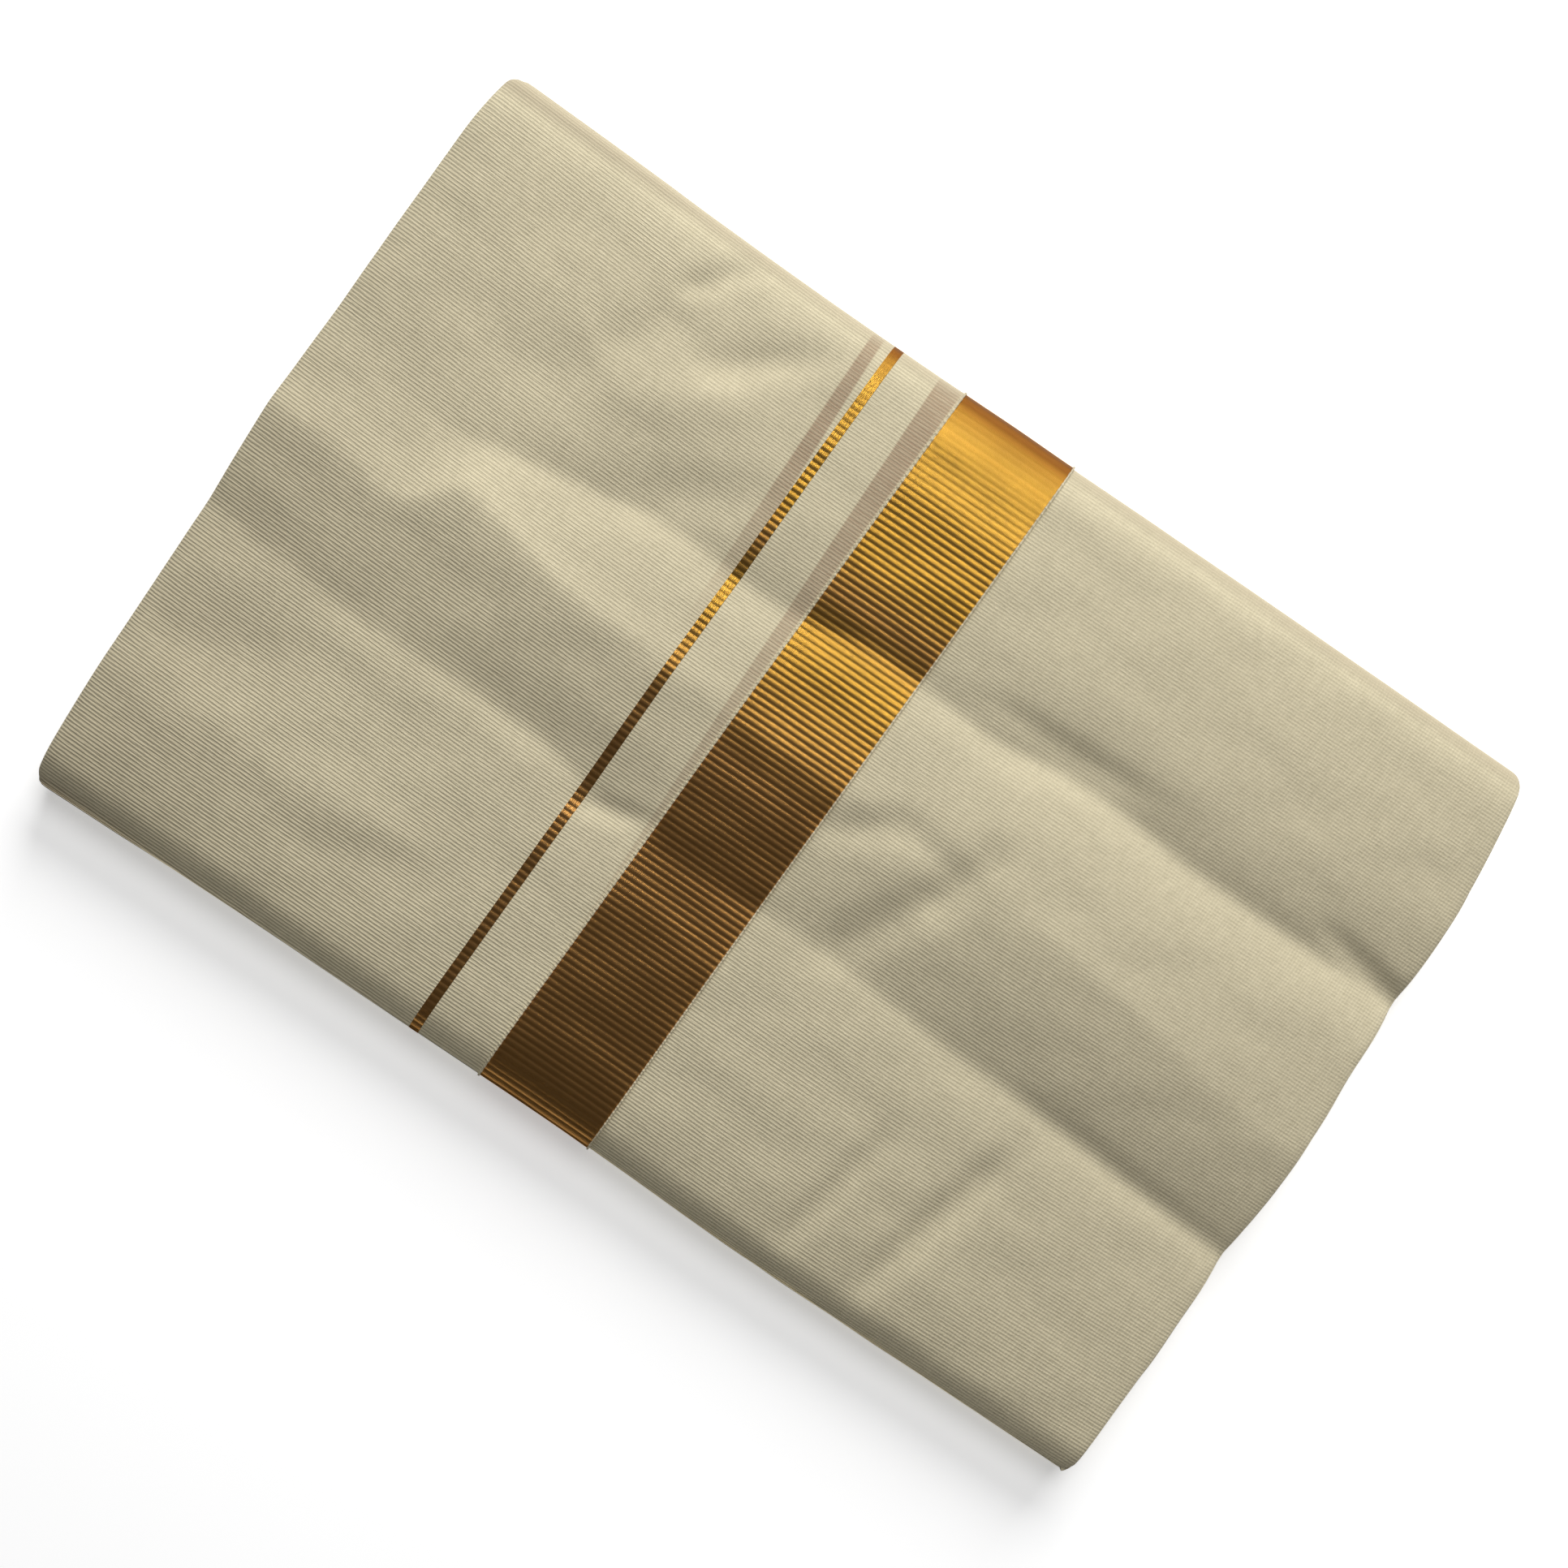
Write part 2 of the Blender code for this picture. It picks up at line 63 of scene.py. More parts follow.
# %% Sizes and edges
PACKET_LENGTH = 359.0 * MM
PACKET_DEPTH = 240.0 * MM
SLIT_HEIGHT = 8.8 * MM
SLIT_GAP = 0.3 * MM
SLIT_REACH = 26.0 * MM
EDGE_HEIGHT = 16.6 * MM
CROWN = 2.6 * MM
BACK_ROLL = 5.5 * MM
BACK_SQUARENESS = 4.2  # 2 is round
UPPER_FRONT_ROLL = 9.5 * MM
UPPER_FRONT_INSET = 1.8 * MM
LOWER_FRONT_ROLL = 4.5 * MM
LOWER_TUCK = 1.2 * MM
CLOTH = 0.45 * MM
CORNERS = {
    "left back": {"radius": 3.4 * MM, "edge": 120.0 * MM},
    "left front": {"radius": 4.6 * MM, "edge": 120.0 * MM},
    "right back": {"radius": 7.5 * MM, "edge": 120.0 * MM},
    "right front": {"radius": 4.6 * MM, "edge": 116.3 * MM},
}

LEFT_EDGE = {
    "y": (-118.0, -95.0, -60.0, -20.0, 8.0, 40.0, 80.0, 105.0, 118.0),
    "x": (-174.2, -175.4, -176.4, -177.2, -177.8, -177.4, -176.9, -176.2, -175.0),
}
RIGHT_EDGE = {
    "y": (-118.0, -95.0, -60.0, -40.5, -25.0, -8.0, 20.0, 44.0, 62.0, 85.0, 105.0, 118.0),
    "x": (176.2, 176.9, 177.9, 177.7, 178.6, 178.8, 177.4, 176.9, 176.9, 175.4, 172.9, 171.0),
}
FRONT_EDGE = {
    "x": (-175.0, -100.0, -50.0, 0.0, 70.0, 140.0, 175.0),
    "y": (-121.2, -119.5, -119.0, -118.4, -119.2, -118.3, -117.8),
}
BACK_EDGE = {
    "x": (-175.0, -140.0, -105.0, -60.0, -32.0, -8.0, 14.0, 40.0, 100.0, 175.0),
    "y": (120.8, 120.0, 118.8, 118.0, 118.0, 118.3, 118.3, 118.5, 118.6, 118.3),
}


def smooth_line(table, across, along, where):
    """The table's value at each place, through its points with an even slope at each."""
    knots = np.array(table[across]) * MM
    values = np.array(table[along]) * MM
    slopes = np.gradient(values, knots)
    where = np.clip(where, knots[0], knots[-1])
    i = np.clip(np.searchsorted(knots, where) - 1, 0, len(knots) - 2)
    span = knots[i + 1] - knots[i]
    t = (where - knots[i]) / span
    rise = values[i + 1] - values[i]
    bend = t * (1 - t) * ((slopes[i] * span - rise) * (1 - t) - (slopes[i + 1] * span - rise) * t)
    return values[i] + rise * t + bend


def corner_inset(end, y):
    """How far a short edge draws in near a corner of the packet."""
    back, front = CORNERS[end + " back"], CORNERS[end + " front"]
    radius = np.where(y > 0, back["radius"], front["radius"])
    edge = np.where(y > 0, back["edge"], front["edge"])
    t = np.clip((np.abs(y) - edge + radius) / radius, 0, 1)
    return radius * (1 - np.sqrt(1 - t * t))


def left_end(y):
    return smooth_line(LEFT_EDGE, "y", "x", y) + corner_inset("left", y)


def right_end(y):
    return smooth_line(RIGHT_EDGE, "y", "x", y) - corner_inset("right", y)


middle_length = float(right_end(0.0) - left_end(0.0)) / MM
print(f"the dressed packet is {middle_length:.1f} mm long at its middle")

# %% [markdown]
# ## The woven border
#
# The border's lines run with the warp, so on the folded packet they cross it from front to
# back, all slanting alike. From the selvage to the left they are the broad gold band, a plain
# strip and a fine gold line.

# %% Lines of the border
SELVAGE_X = 15.2 * MM
BORDER_SLANT = 0.018
BAND_WIDTH = 36.9 * MM
PLAIN_STRIP_WIDTH = 20.7 * MM
FINE_LINE_WIDTH = 3.1 * MM

BAND_LEFT = BAND_WIDTH
LINE_RIGHT = BAND_LEFT + PLAIN_STRIP_WIDTH
LINE_LEFT = LINE_RIGHT + FINE_LINE_WIDTH


def border_line(from_selvage):
    """A line of the border, that far left of the selvage, as a function of y."""

    def line(y):
        return SELVAGE_X - from_selvage + BORDER_SLANT * y

    return line


for name, line in (("band", BAND_LEFT), ("fine line", LINE_LEFT)):
    print(f"the {name}'s left edge is {line / MM:.1f} mm from the selvage")

# %% [markdown]
# ## Creases one by one
#
# A cloth that has lain folded keeps long soft waves and a few short creases. A simulation
# wouldn't give these particular ones, so they are placed one by one. A long wave is a line across
# the packet with its depth along it, and a rounded V on each side. A short crease is a straight
# line that fades at both ends. Depths are in millimetres, and a negative depth is a ridge. Faint
# lumps cover the whole face, and the top drops a little where it meets the long folds.

# %% The waves and creases of the top
BACK_TROUGH = {
    "x": (-175.0, -128.0, -108.0, -88.0, -60.0, -35.0, 5.0, 24.0, 42.0, 60.0, 79.0, 96.0, 179.0),
    "y": (29.0, 29.0, 32.5, 36.5, 40.0, 38.5, 43.8, 42.8, 42.5, 45.0, 46.0, 44.5, 44.5),
    "depth": (0.0, 1.2, 2.3, 2.5, 2.0, 2.3, 1.9, 2.4, 3.1, 3.5, 3.5, 3.5, 3.7),
}
MIDDLE_RIDGE = {
    "x": (-175.0, -150.0, -132.0, -119.0, -106.0, -80.0, -50.0, -30.0, 16.0, 52.0, 80.0, 120.0, 179.0),
    "y": (5.0, 4.0, 2.5, 14.5, 13.0, 8.0, 7.0, 5.0, 5.0, 8.0, 5.0, 0.0, -8.0),
    "depth": (-2.5, -2.3, -2.4, -3.5, -3.3, -2.8, -2.4, -1.3, -1.2, -1.5, -1.6, -1.6, -1.0),
}
FRONT_TROUGH = {
    "x": (-179.0, -120.0, -90.0, -60.0, -36.0, -10.0, 20.0, 70.0, 105.0, 140.0, 179.0),
    "y": (-27.0, -30.0, -29.5, -29.5, -34.0, -36.0, -33.5, -35.5, -37.5, -39.5, -41.0),
    "depth": (0.8, 0.7, 1.0, 1.5, 1.2, 0.5, 1.0, 1.4, 1.5, 1.6, 1.7),
}
FRONT_SAG = {
    "x": (-179.0, -120.0, -60.0, -30.0, -5.0, 24.0, 104.0, 179.0),
    "y": (-33.0, -33.0, -33.0, -34.0, -35.0, -36.0, -38.0, -42.0),
    "depth": (1.4, 1.6, 2.0, 1.8, 1.3, 1.9, 3.3, 3.6),
}
WAVES = (
    {"line": BACK_TROUGH, "reach_back": 10.0, "reach_front": 9.5, "roundness": 0.25},
    {"line": MIDDLE_RIDGE, "reach_back": 12.0, "reach_front": 24.0, "roundness": 0.25},
    {"line": FRONT_TROUGH, "reach_back": 9.0, "reach_front": 7.0, "roundness": 0.3},
    {"line": FRONT_SAG, "reach_back": 21.0, "reach_front": 48.0, "roundness": 0.6},
)
SHORT_CREASES = (
    {"start": (-88.0, 112.0), "end": (-101.0, 95.0), "depth": 1.1, "reach": 4.0},
    {"start": (-57.0, 103.0), "end": (-84.0, 80.0), "depth": 1.15, "reach": 5.5},
    {"start": (-97.0, 92.0), "end": (-109.0, 70.0), "depth": 1.2, "reach": 7.0},
    {"start": (-66.0, 80.0), "end": (-104.0, 59.0), "depth": -0.8, "reach": 8.0},
    {"start": (-46.0, 62.0), "end": (-80.0, 43.0), "depth": 0.9, "reach": 8.0},
    {"start": (-96.0, 62.0), "end": (-142.0, 50.0), "depth": 1.0, "reach": 13.0},
    {"start": (61.0, 18.0), "end": (54.0, -8.0), "depth": 1.2, "reach": 6.0},
    {"start": (57.0, 4.0), "end": (36.0, -36.0), "depth": 1.5, "reach": 6.5},
    {"start": (16.0, -6.0), "end": (36.0, 9.0), "depth": 1.1, "reach": 5.5},
    {"start": (31.0, 9.0), "end": (59.0, 5.0), "depth": 0.8, "reach": 5.0},
    {"start": (34.0, 50.0), "end": (90.0, 53.5), "depth": 0.7, "reach": 4.0},
    {"start": (148.0, 51.5), "end": (184.0, 45.0), "depth": 1.0, "reach": 3.5},
    {"start": (98.0, -35.5), "end": (184.0, -40.5), "depth": 0.5, "reach": 3.5},
    {"start": (-46.0, -38.5), "end": (-22.0, -30.5), "depth": 0.8, "reach": 3.5},
    {"start": (112.0, -50.0), "end": (98.0, -106.0), "depth": 1.8, "reach": 5.0},
    {"start": (80.0, -66.0), "end": (73.0, -106.0), "depth": 1.3, "reach": 4.0},
    {"start": (-137.0, 114.0), "end": (-140.0, 80.0), "depth": 0.7, "reach": 8.0},
    {"start": (-134.0, -56.0), "end": (-172.0, -64.0), "depth": 1.0, "reach": 10.0},
    {"start": (-72.0, -79.0), "end": (-172.0, -80.0), "depth": -1.2, "reach": 16.0},
    {"start": (-62.0, -76.0), "end": (-104.0, -92.0), "depth": 0.7, "reach": 8.0},
)
LUMPS = (
    {"across": 61.0, "along": 43.0, "turn": 20.0, "height": 0.16, "shift": 0.4},
    {"across": 37.0, "along": 29.0, "turn": -35.0, "height": 0.08, "shift": 2.1},
    {"across": 23.0, "along": 31.0, "turn": 60.0, "height": 0.05, "shift": 4.0},
)
SHOULDER_Y = 112.0 * MM
BACK_SHOULDER = {"drop": 1.0 * MM, "reach": 5.5 * MM}
FRONT_SHOULDER = {"drop": 1.2 * MM, "reach": 5.0 * MM}


def wave_height(x, y, wave):
    """Height that one long wave adds: a soft V on each side of its line."""
    line = wave["line"]
    away = y - smooth_line(line, "x", "y", x)
    depth = smooth_line(line, "x", "depth", x)
    reach = np.where(away > 0, wave["reach_back"], wave["reach_front"]) * MM
    k = wave["roundness"]
    return -depth * np.exp(k - np.sqrt((away / reach) ** 2 + k * k))


def crease_height(x, y, crease):
    """Height that one short crease adds, fading along and across."""
    start = np.array(crease["start"]) * MM
    run = np.array(crease["end"]) * MM - start
    length = np.linalg.norm(run)
    along = ((x - start[0]) * run[0] + (y - start[1]) * run[1]) / length**2
    across = ((x - start[0]) * run[1] - (y - start[1]) * run[0]) / length
    fade = np.exp(-((2 * along - 1) ** 4) * 0.9)
    return -crease["depth"] * MM * fade * np.exp(-((across / (crease["reach"] * MM)) ** 2))


def shoulder_drop(outward, shoulder):
    """How far the top drops towards a long fold, at a distance from the middle line."""
    return shoulder["drop"] * np.exp((outward - SHOULDER_Y) / shoulder["reach"])


def lump_height(x, y, lump):
    """A slight quilting of the whole face, as soft cloth on many leaves always has."""
    turn = math.radians(lump["turn"])
    a = (x * math.cos(turn) + y * math.sin(turn)) / MM / lump["across"]
    b = (y * math.cos(turn) - x * math.sin(turn)) / MM / lump["along"]
    wave = np.sin(2 * math.pi * a + lump["shift"] + np.sin(2 * math.pi * b))
    return lump["height"] * MM * wave * np.sin(2 * math.pi * b + 2 * lump["shift"])


def top_height(x, y):
    """Height of the cloth's upper face over the point (x, y)."""
    u = np.clip(2 * x / PACKET_LENGTH, -1, 1)
    v = np.clip(2 * y / PACKET_DEPTH, -1, 1)
    height = EDGE_HEIGHT + CROWN * (1 - u**4) * (1 - v * v) ** 0.8
    height = height - shoulder_drop(y, BACK_SHOULDER) - shoulder_drop(-y, FRONT_SHOULDER)
    for wave in WAVES:
        height = height + wave_height(x, y, wave)
    for crease in SHORT_CREASES:
        height = height + crease_height(x, y, crease)
    for lump in LUMPS:
        height = height + lump_height(x, y, lump)
    return height


print(f"{len(WAVES)} long waves and {len(SHORT_CREASES)} short creases in the top")
print(f"the top is {float(top_height(0.0, 0.0)) / MM:.1f} mm high in the middle")

# %% [markdown]
# ## One path round the packet
#
# The outermost leaf comes out of the slit at the front, goes over the top, round the closed
# fold at the back, under the packet, and back into the slit. So each stretch of the cloth is
# one sheet of points: columns across its width and rows along that path. The rows are listed
# once as angles round each fold and shares of each flat part, and every column uses them.

# %% Rows of the path
ROW_STEP = 1.25 * MM
TOP_RUN = 218.0 * MM
ROLL_RUN = 30.0 * MM
ROLL_STEP = 0.8 * MM
SLIT_ROWS = 9
UNDER_ROWS = 26
LOWER_ROLL_ROWS = 20
LOWER_ROLL_STOP_DEG = 70.0


def roll_rows(start, stop, count):
    """Even angles round a roll, given in degrees."""
    return np.radians(np.linspace(start, stop, count))


def path_points(left, right, shares, lip, row_step):
    """Places of all rows (second axis) in all columns (first axis) of a stretch."""
    shares = np.array(shares)[:, None]
    mid_x = left(0.0) * (1 - shares) + right(0.0) * shares
    front = smooth_line(FRONT_EDGE, "x", "y", mid_x)
    back = smooth_line(BACK_EDGE, "x", "y", mid_x)
    upper_front = front + UPPER_FRONT_INSET
    first = upper_front + UPPER_FRONT_ROLL
    last = back - BACK_ROLL
    drop = lip(shares)

    def place(y, z):
        y, z = np.broadcast_arrays(y, z)
        return np.stack([left(y) * (1 - shares) + right(y) * shares, y, z], axis=-1)

    def high(y):
        x = left(y) * (1 - shares) + right(y) * shares
        return top_height(x, y) - drop

    top_rows = int(TOP_RUN / row_step)
    roll_count = int(ROLL_RUN / min(row_step, ROLL_STEP))
    parts = []
    low = SLIT_HEIGHT + SLIT_GAP / 2
    y = first + SLIT_REACH * np.linspace(1, 0, SLIT_ROWS)[None, :-1]
    parts.append(place(y, low))
    turn = roll_rows(-90, 90, roll_count)[None, :]
    y = first - UPPER_FRONT_ROLL * np.cos(turn)
    middle = (low + high(first)) / 2
    reach = np.where(turn > 0, high(y) - middle, middle - low)
    parts.append(place(y, middle + reach * np.sin(turn)))
    share = np.linspace(0, 1, top_rows)[None, 1:-1]
    y = first + (last - first) * share
    parts.append(place(y, high(y)))
    turn = roll_rows(90, -90, roll_count)[None, :]
    square = 2 / BACK_SQUARENESS
    y = last + BACK_ROLL * np.cos(turn) ** square
    middle = high(last) / 2
    reach = np.where(turn > 0, high(y) - middle, middle)
    rise = np.sign(turn) * np.abs(np.sin(turn)) ** square
    parts.append(place(y, middle + reach * rise))
    share = np.linspace(0, 1, UNDER_ROWS)[None, 1:-1]
    low_first = front + LOWER_FRONT_ROLL
    parts.append(place(last + (low_first - last) * share, 0.0 * drop))
    half = (SLIT_HEIGHT - SLIT_GAP / 2) / 4
    turn = roll_rows(-90, LOWER_ROLL_STOP_DEG, LOWER_ROLL_ROWS)[None, :]
    y = low_first - LOWER_FRONT_ROLL * np.cos(turn)
    parts.append(place(y, half + half * np.sin(turn)))
    turn = roll_rows(-LOWER_ROLL_STOP_DEG, 90, LOWER_ROLL_ROWS)[None, :]
    y = low_first + LOWER_TUCK - LOWER_FRONT_ROLL * np.cos(turn)
    parts.append(place(y, 3 * half + half * np.sin(turn)))
    y = first + SLIT_REACH * np.linspace(0, 1, SLIT_ROWS)[None, 1:]
    parts.append(place(y, 4 * half + 0.0 * drop))
    return np.concatenate(parts, axis=1)


def no_lip(shares):
    return 0.0 * shares


LIP_REACH = 3.2 * MM
LIP_FALL = 0.9 * MM


def lip_at(end, width):
    """The rounding of a folded edge at the stretch's left (0) or right (1) end."""

    def drop(shares):
        away = np.abs(shares - end) * width
        t = 1 - np.clip(away / LIP_REACH, 0, 1)
        return LIP_FALL * (1 - np.sqrt(1 - t * t))

    return drop


# %% [markdown]
# ## From points to cloth
#
# A sheet of points has no thickness yet. Moving each point inwards along its normal gives the
# inner face, and the two faces are joined round their rim into one closed shell. Each point
# also keeps where it lies in the weave: how far across the cloth, how far along it, and on
# which face. The finishes read that, so their ribs follow the cloth round every fold.

# %% Shells of cloth
PIECES = {}
WEFT_BOW = 0.000094


def normals_of(points):
    """The outward normal at each point of a sheet."""
    across = np.gradient(points, axis=0)
    along = np.gradient(points, axis=1)
    normal = np.cross(across, along)
    return normal / np.linalg.norm(normal, axis=-1, keepdims=True)


def weave_places(points):
    """Millimetres across and along the cloth, the latter bowed as a weft is in a loom."""
    steps = np.linalg.norm(np.diff(points, axis=1), axis=-1)
    along = np.concatenate([np.zeros((len(points), 1)), np.cumsum(steps, axis=1)], axis=1)
    middle = len(points) // 2
    across = (points[..., 0] - border_line(0.0)(points[..., 1])) / MM
    along = along[middle] / MM - WEFT_BOW * (points[..., 0] / MM) ** 2
    return across, along


def soften(mesh):
    """Smooth shading, except where two faces meet at a sharp edge."""
    mesh.shade_smooth()
    mesh.set_sharp_from_angle(angle=math.radians(50))


def shell(name, points, material, depth=0.0, thickness=CLOTH):
    """A closed shell of that thickness, that deep under a sheet of points."""
    columns, rows = points.shape[:2]
    normal = normals_of(points)
    points = points - normal * np.broadcast_to(depth, (columns, rows))[..., None]
    inner = points - normal * thickness
    number = np.arange(columns * rows).reshape(columns, rows)
    far = number + columns * rows
    faces = [
        np.stack([number[:-1, :-1], number[1:, :-1], number[1:, 1:], number[:-1, 1:]], axis=-1),
        np.stack([far[:-1, :-1], far[:-1, 1:], far[1:, 1:], far[1:, :-1]], axis=-1),
    ]
    rims = (far[0], number[0]), (number[-1], far[-1]), (number[:, 0], far[:, 0])
    rims += ((far[:, -1], number[:, -1]),)
    quads = [f.reshape(-1, 4) for f in faces]
    for a, b in rims:
        quads.append(np.stack([a[:-1], b[:-1], b[1:], a[1:]], axis=-1))
    quads = np.concatenate(quads)
    places = np.concatenate([points.reshape(-1, 3), inner.reshape(-1, 3)])
    mesh = bpy.data.meshes.new(name)
    mesh.from_pydata(places.tolist(), [], quads.tolist())
    across, along = weave_places(points)
    side = np.concatenate([np.ones(columns * rows), np.zeros(columns * rows)])
    weave = np.stack([np.tile(across.ravel(), 2), np.tile(along.ravel(), 2), side], axis=-1)
    mesh.attributes.new("weave", "FLOAT_VECTOR", "POINT").data.foreach_set("vector", weave.ravel())
    outward = np.concatenate([normal.reshape(-1, 3), -normal.reshape(-1, 3)])
    mesh.attributes.new("outward", "FLOAT_VECTOR", "POINT").data.foreach_set(
        "vector", outward.ravel()
    )
    soften(mesh)
    mesh.materials.append(material)
    obj = bpy.data.objects.new(name, mesh)
    bpy.context.scene.collection.objects.link(obj)
    PIECES[name] = obj
    girth = float(np.linalg.norm(np.diff(points[columns // 2], axis=0), axis=-1).sum())
    print(f"{name}: {len(quads)} faces, {girth / MM:.0f} mm round the packet")
    return obj, girth


# %% [markdown]
# ## Writing shader sums as Python
#
# A finish needs sums such as `1 - mask * 0.4`. Wrapping a socket in a small class lets Python's
# own operators add the Math nodes, so the finishes below read like formulas.

# %% Expressions for node trees
class Sum:
    """A number in a node tree that Python can calculate with."""

    def __init__(self, tree, socket):
        self.tree = tree
        self.socket = socket

    def math(self, operation, *others, clamp=False):
        node = self.tree.nodes.new("ShaderNodeMath")
        node.operation = operation
        node.use_clamp = clamp
        for slot, value in zip(node.inputs, (self, *others)):
            plug(self.tree, slot, value)
        return Sum(self.tree, node.outputs[0])

    def __add__(self, other):
        return self.math("ADD", other)

    def __sub__(self, other):
        return self.math("SUBTRACT", other)

    def __rsub__(self, other):
        return (self * -1.0) + other

    def __mul__(self, other):
        return self.math("MULTIPLY", other)

    def __truediv__(self, other):
        return self.math("DIVIDE", other)

    __radd__ = __add__
    __rmul__ = __mul__

    def sine(self):
        return self.math("SINE")

    def power(self, exponent):
        return self.math("POWER", exponent)

    def clamped(self):
        return self.math("ADD", 0.0, clamp=True)

    def limited(self, low, high):
        return self.math("MAXIMUM", low).math("MINIMUM", high)

    def ramp(self, start, over):
        """0 at the start, rising to 1 over a distance, which is negative to rise downwards."""
        return ((self - start) / over).clamped()

    def between(self, low, high, soft):
        """1 from low to high, falling to 0 over a soft edge."""
        rise = ((self - low) * (1 / soft) + 0.5).clamped()
        fall = ((self * -1.0 + high) * (1 / soft) + 0.5).clamped()
        return rise * fall


def plug(tree, slot, value):
    """Sets a socket to a number, a colour, another socket or a sum."""
    if isinstance(value, Sum):
        value = value.socket
    if isinstance(value, bpy.types.NodeSocket):
        tree.links.new(value, slot)
    else:
        slot.default_value = value


def add_node(tree, kind, settings=None, inputs=None):
    """A node of any kind, with its settings first and then its sockets."""
    node = tree.nodes.new(kind)
    for key, value in (settings or {}).items():
        setattr(node, key, value)
    for key, value in (inputs or {}).items():
        plug(tree, node.inputs[key], value)
    return node


def mixed(tree, share, a, b):
    """A colour between two colours."""
    node = add_node(tree, "ShaderNodeMix", {"data_type": "RGBA"})
    plug(tree, node.inputs["Factor"], share)
    plug(tree, node.inputs["A"], a)
    plug(tree, node.inputs["B"], b)
    return next(s for s in node.outputs if s.type == "RGBA" and s.enabled)


# %% [markdown]
# ## Plain cotton
#
# Unbleached cotton is cream and matt. Its weft is a little thicker than its warp, so it has fine
# ribs about 1 mm apart across the cloth, with slubs where a yarn swells. Towards the right the
# warp shows more, and the weave looks square. The finish lays the threads in the weave's own
# millimetres. Where the lower leaf's gold lies close beneath, it shows through as a pinkish
# ghost beside the border. The long folds and the left end are darkened with painted shade.

# %% Cotton finish
WEFT_PITCH = 1.03
WARP_PITCH = 0.92
# Painted shade: where the long folds and the left end are darkened in the cotton's colour.
SHADE_BACK_FOLD = {"start": 112.5, "over": 4.0}
SHADE_FRONT_FOLD = {"start": -116.0, "over": -4.0}
SHADE_LEFT_END = {"start": -120.0, "over": -40.0}
COTTON_LIGHT = (0.73, 0.65, 0.452, 1.0)
COTTON_DEEP = (0.52, 0.46, 0.31, 1.0)
GHOST_COLOUR = (0.36, 0.25, 0.16, 1.0)
GHOST_STRENGTH = 0.85
BAND_GHOST = {"y": -75.0, "slope": -0.0405, "across": -37.4}
BAND_GHOST_RIGHT = -37.5
LINE_GHOST_LEFT = {"y": 24.0, "slope": -0.0385, "across": -64.0}
LINE_GHOST_RIGHT = {"y": 69.0, "slope": -0.061, "across": -61.0}
PAINTED_SHADE_COLOUR = (0.37, 0.315, 0.215, 1.0)
SPECK_COLOUR = (0.16, 0.12, 0.06, 1.0)
SPECK_SPACING = 52.0
SPECK_SIZE = 0.42


def weave_sockets(tree):
    """The weave's place as a vector, and its numbers across and along the cloth."""
    source = add_node(tree, "ShaderNodeAttribute", {"attribute_name": "weave"})
    parts = add_node(tree, "ShaderNodeSeparateXYZ", inputs={0: source.outputs["Vector"]})
    return source.outputs["Vector"], Sum(tree, parts.outputs[0]), Sum(tree, parts.outputs[1])


def streaks(tree, vector, across, along, detail=2.0):
    """Noise stretched along one thread direction."""
    scaled = add_node(
        tree, "ShaderNodeMapping", inputs={"Vector": vector, "Scale": (across, along, 1.0)}
    )
    noise = add_node(
        tree,
        "ShaderNodeTexNoise",
        inputs={"Vector": scaled.outputs[0], "Scale": 1.0, "Detail": detail, "Roughness": 0.6},
    )
    return Sum(tree, noise.outputs[0])


def new_material(name):
    material = bpy.data.materials.new(name)
    material.use_nodes = True
    tree = material.node_tree
    return material, tree, tree.nodes["Principled BSDF"]


def bumped(tree, surface, height, strength, distance):
    """Lets a height turn the surface's normal."""
    sizes = {"Strength": strength, "Distance": distance, "Height": height}
    bump = add_node(tree, "ShaderNodeBump", inputs=sizes)
    plug(tree, surface.inputs["Normal"], bump.outputs[0])


def place_sockets(tree):
    """Where a point lies on the packet, in millimetres."""
    place = add_node(tree, "ShaderNodeTexCoord")
    parts = add_node(tree, "ShaderNodeSeparateXYZ", inputs={0: place.outputs["Object"]})
    return [Sum(tree, parts.outputs[k]) / MM for k in range(3)]


def ghost_edge(y, edge):
    """Where an edge of a ghost lies across the cloth: a line that slants more than the border."""
    return (y - edge["y"]) * edge["slope"] + edge["across"]


def ghost_share(across, y, z):
    """How strongly the lower leaf's gold shows through, beside the band and the fine line."""
    on_top = z.ramp(12.0, 2.0)
    band = across.between(ghost_edge(y, BAND_GHOST), BAND_GHOST_RIGHT, 0.5)
    band = band * y.ramp(-95.0, 190.0).power(0.8)
    line = across.between(ghost_edge(y, LINE_GHOST_LEFT), ghost_edge(y, LINE_GHOST_RIGHT), 0.6)
    line = line * y.ramp(18.0, 60.0)
    return (band + line).clamped() * on_top * GHOST_STRENGTH


def painted_shade_share(x, y):
    """How far painted shade darkens the cotton, on the long folds and at the left end."""
    folds = y.ramp(**SHADE_BACK_FOLD) + y.ramp(**SHADE_FRONT_FOLD)
    left_end_shade = x.ramp(**SHADE_LEFT_END) * (0.6 - y * 0.004).clamped()
    return folds * 0.8 + left_end_shade * 0.27


def specks(tree, vector):
    """Dark husk specks, one somewhere in each cell of the cloth."""
    cells = add_node(
        tree, "ShaderNodeTexVoronoi", inputs={"Vector": vector, "Scale": 1 / SPECK_SPACING}
    )
    speck = (SPECK_SIZE / SPECK_SPACING - Sum(tree, cells.outputs["Distance"])) * 900.0
    return speck.clamped() * 0.55


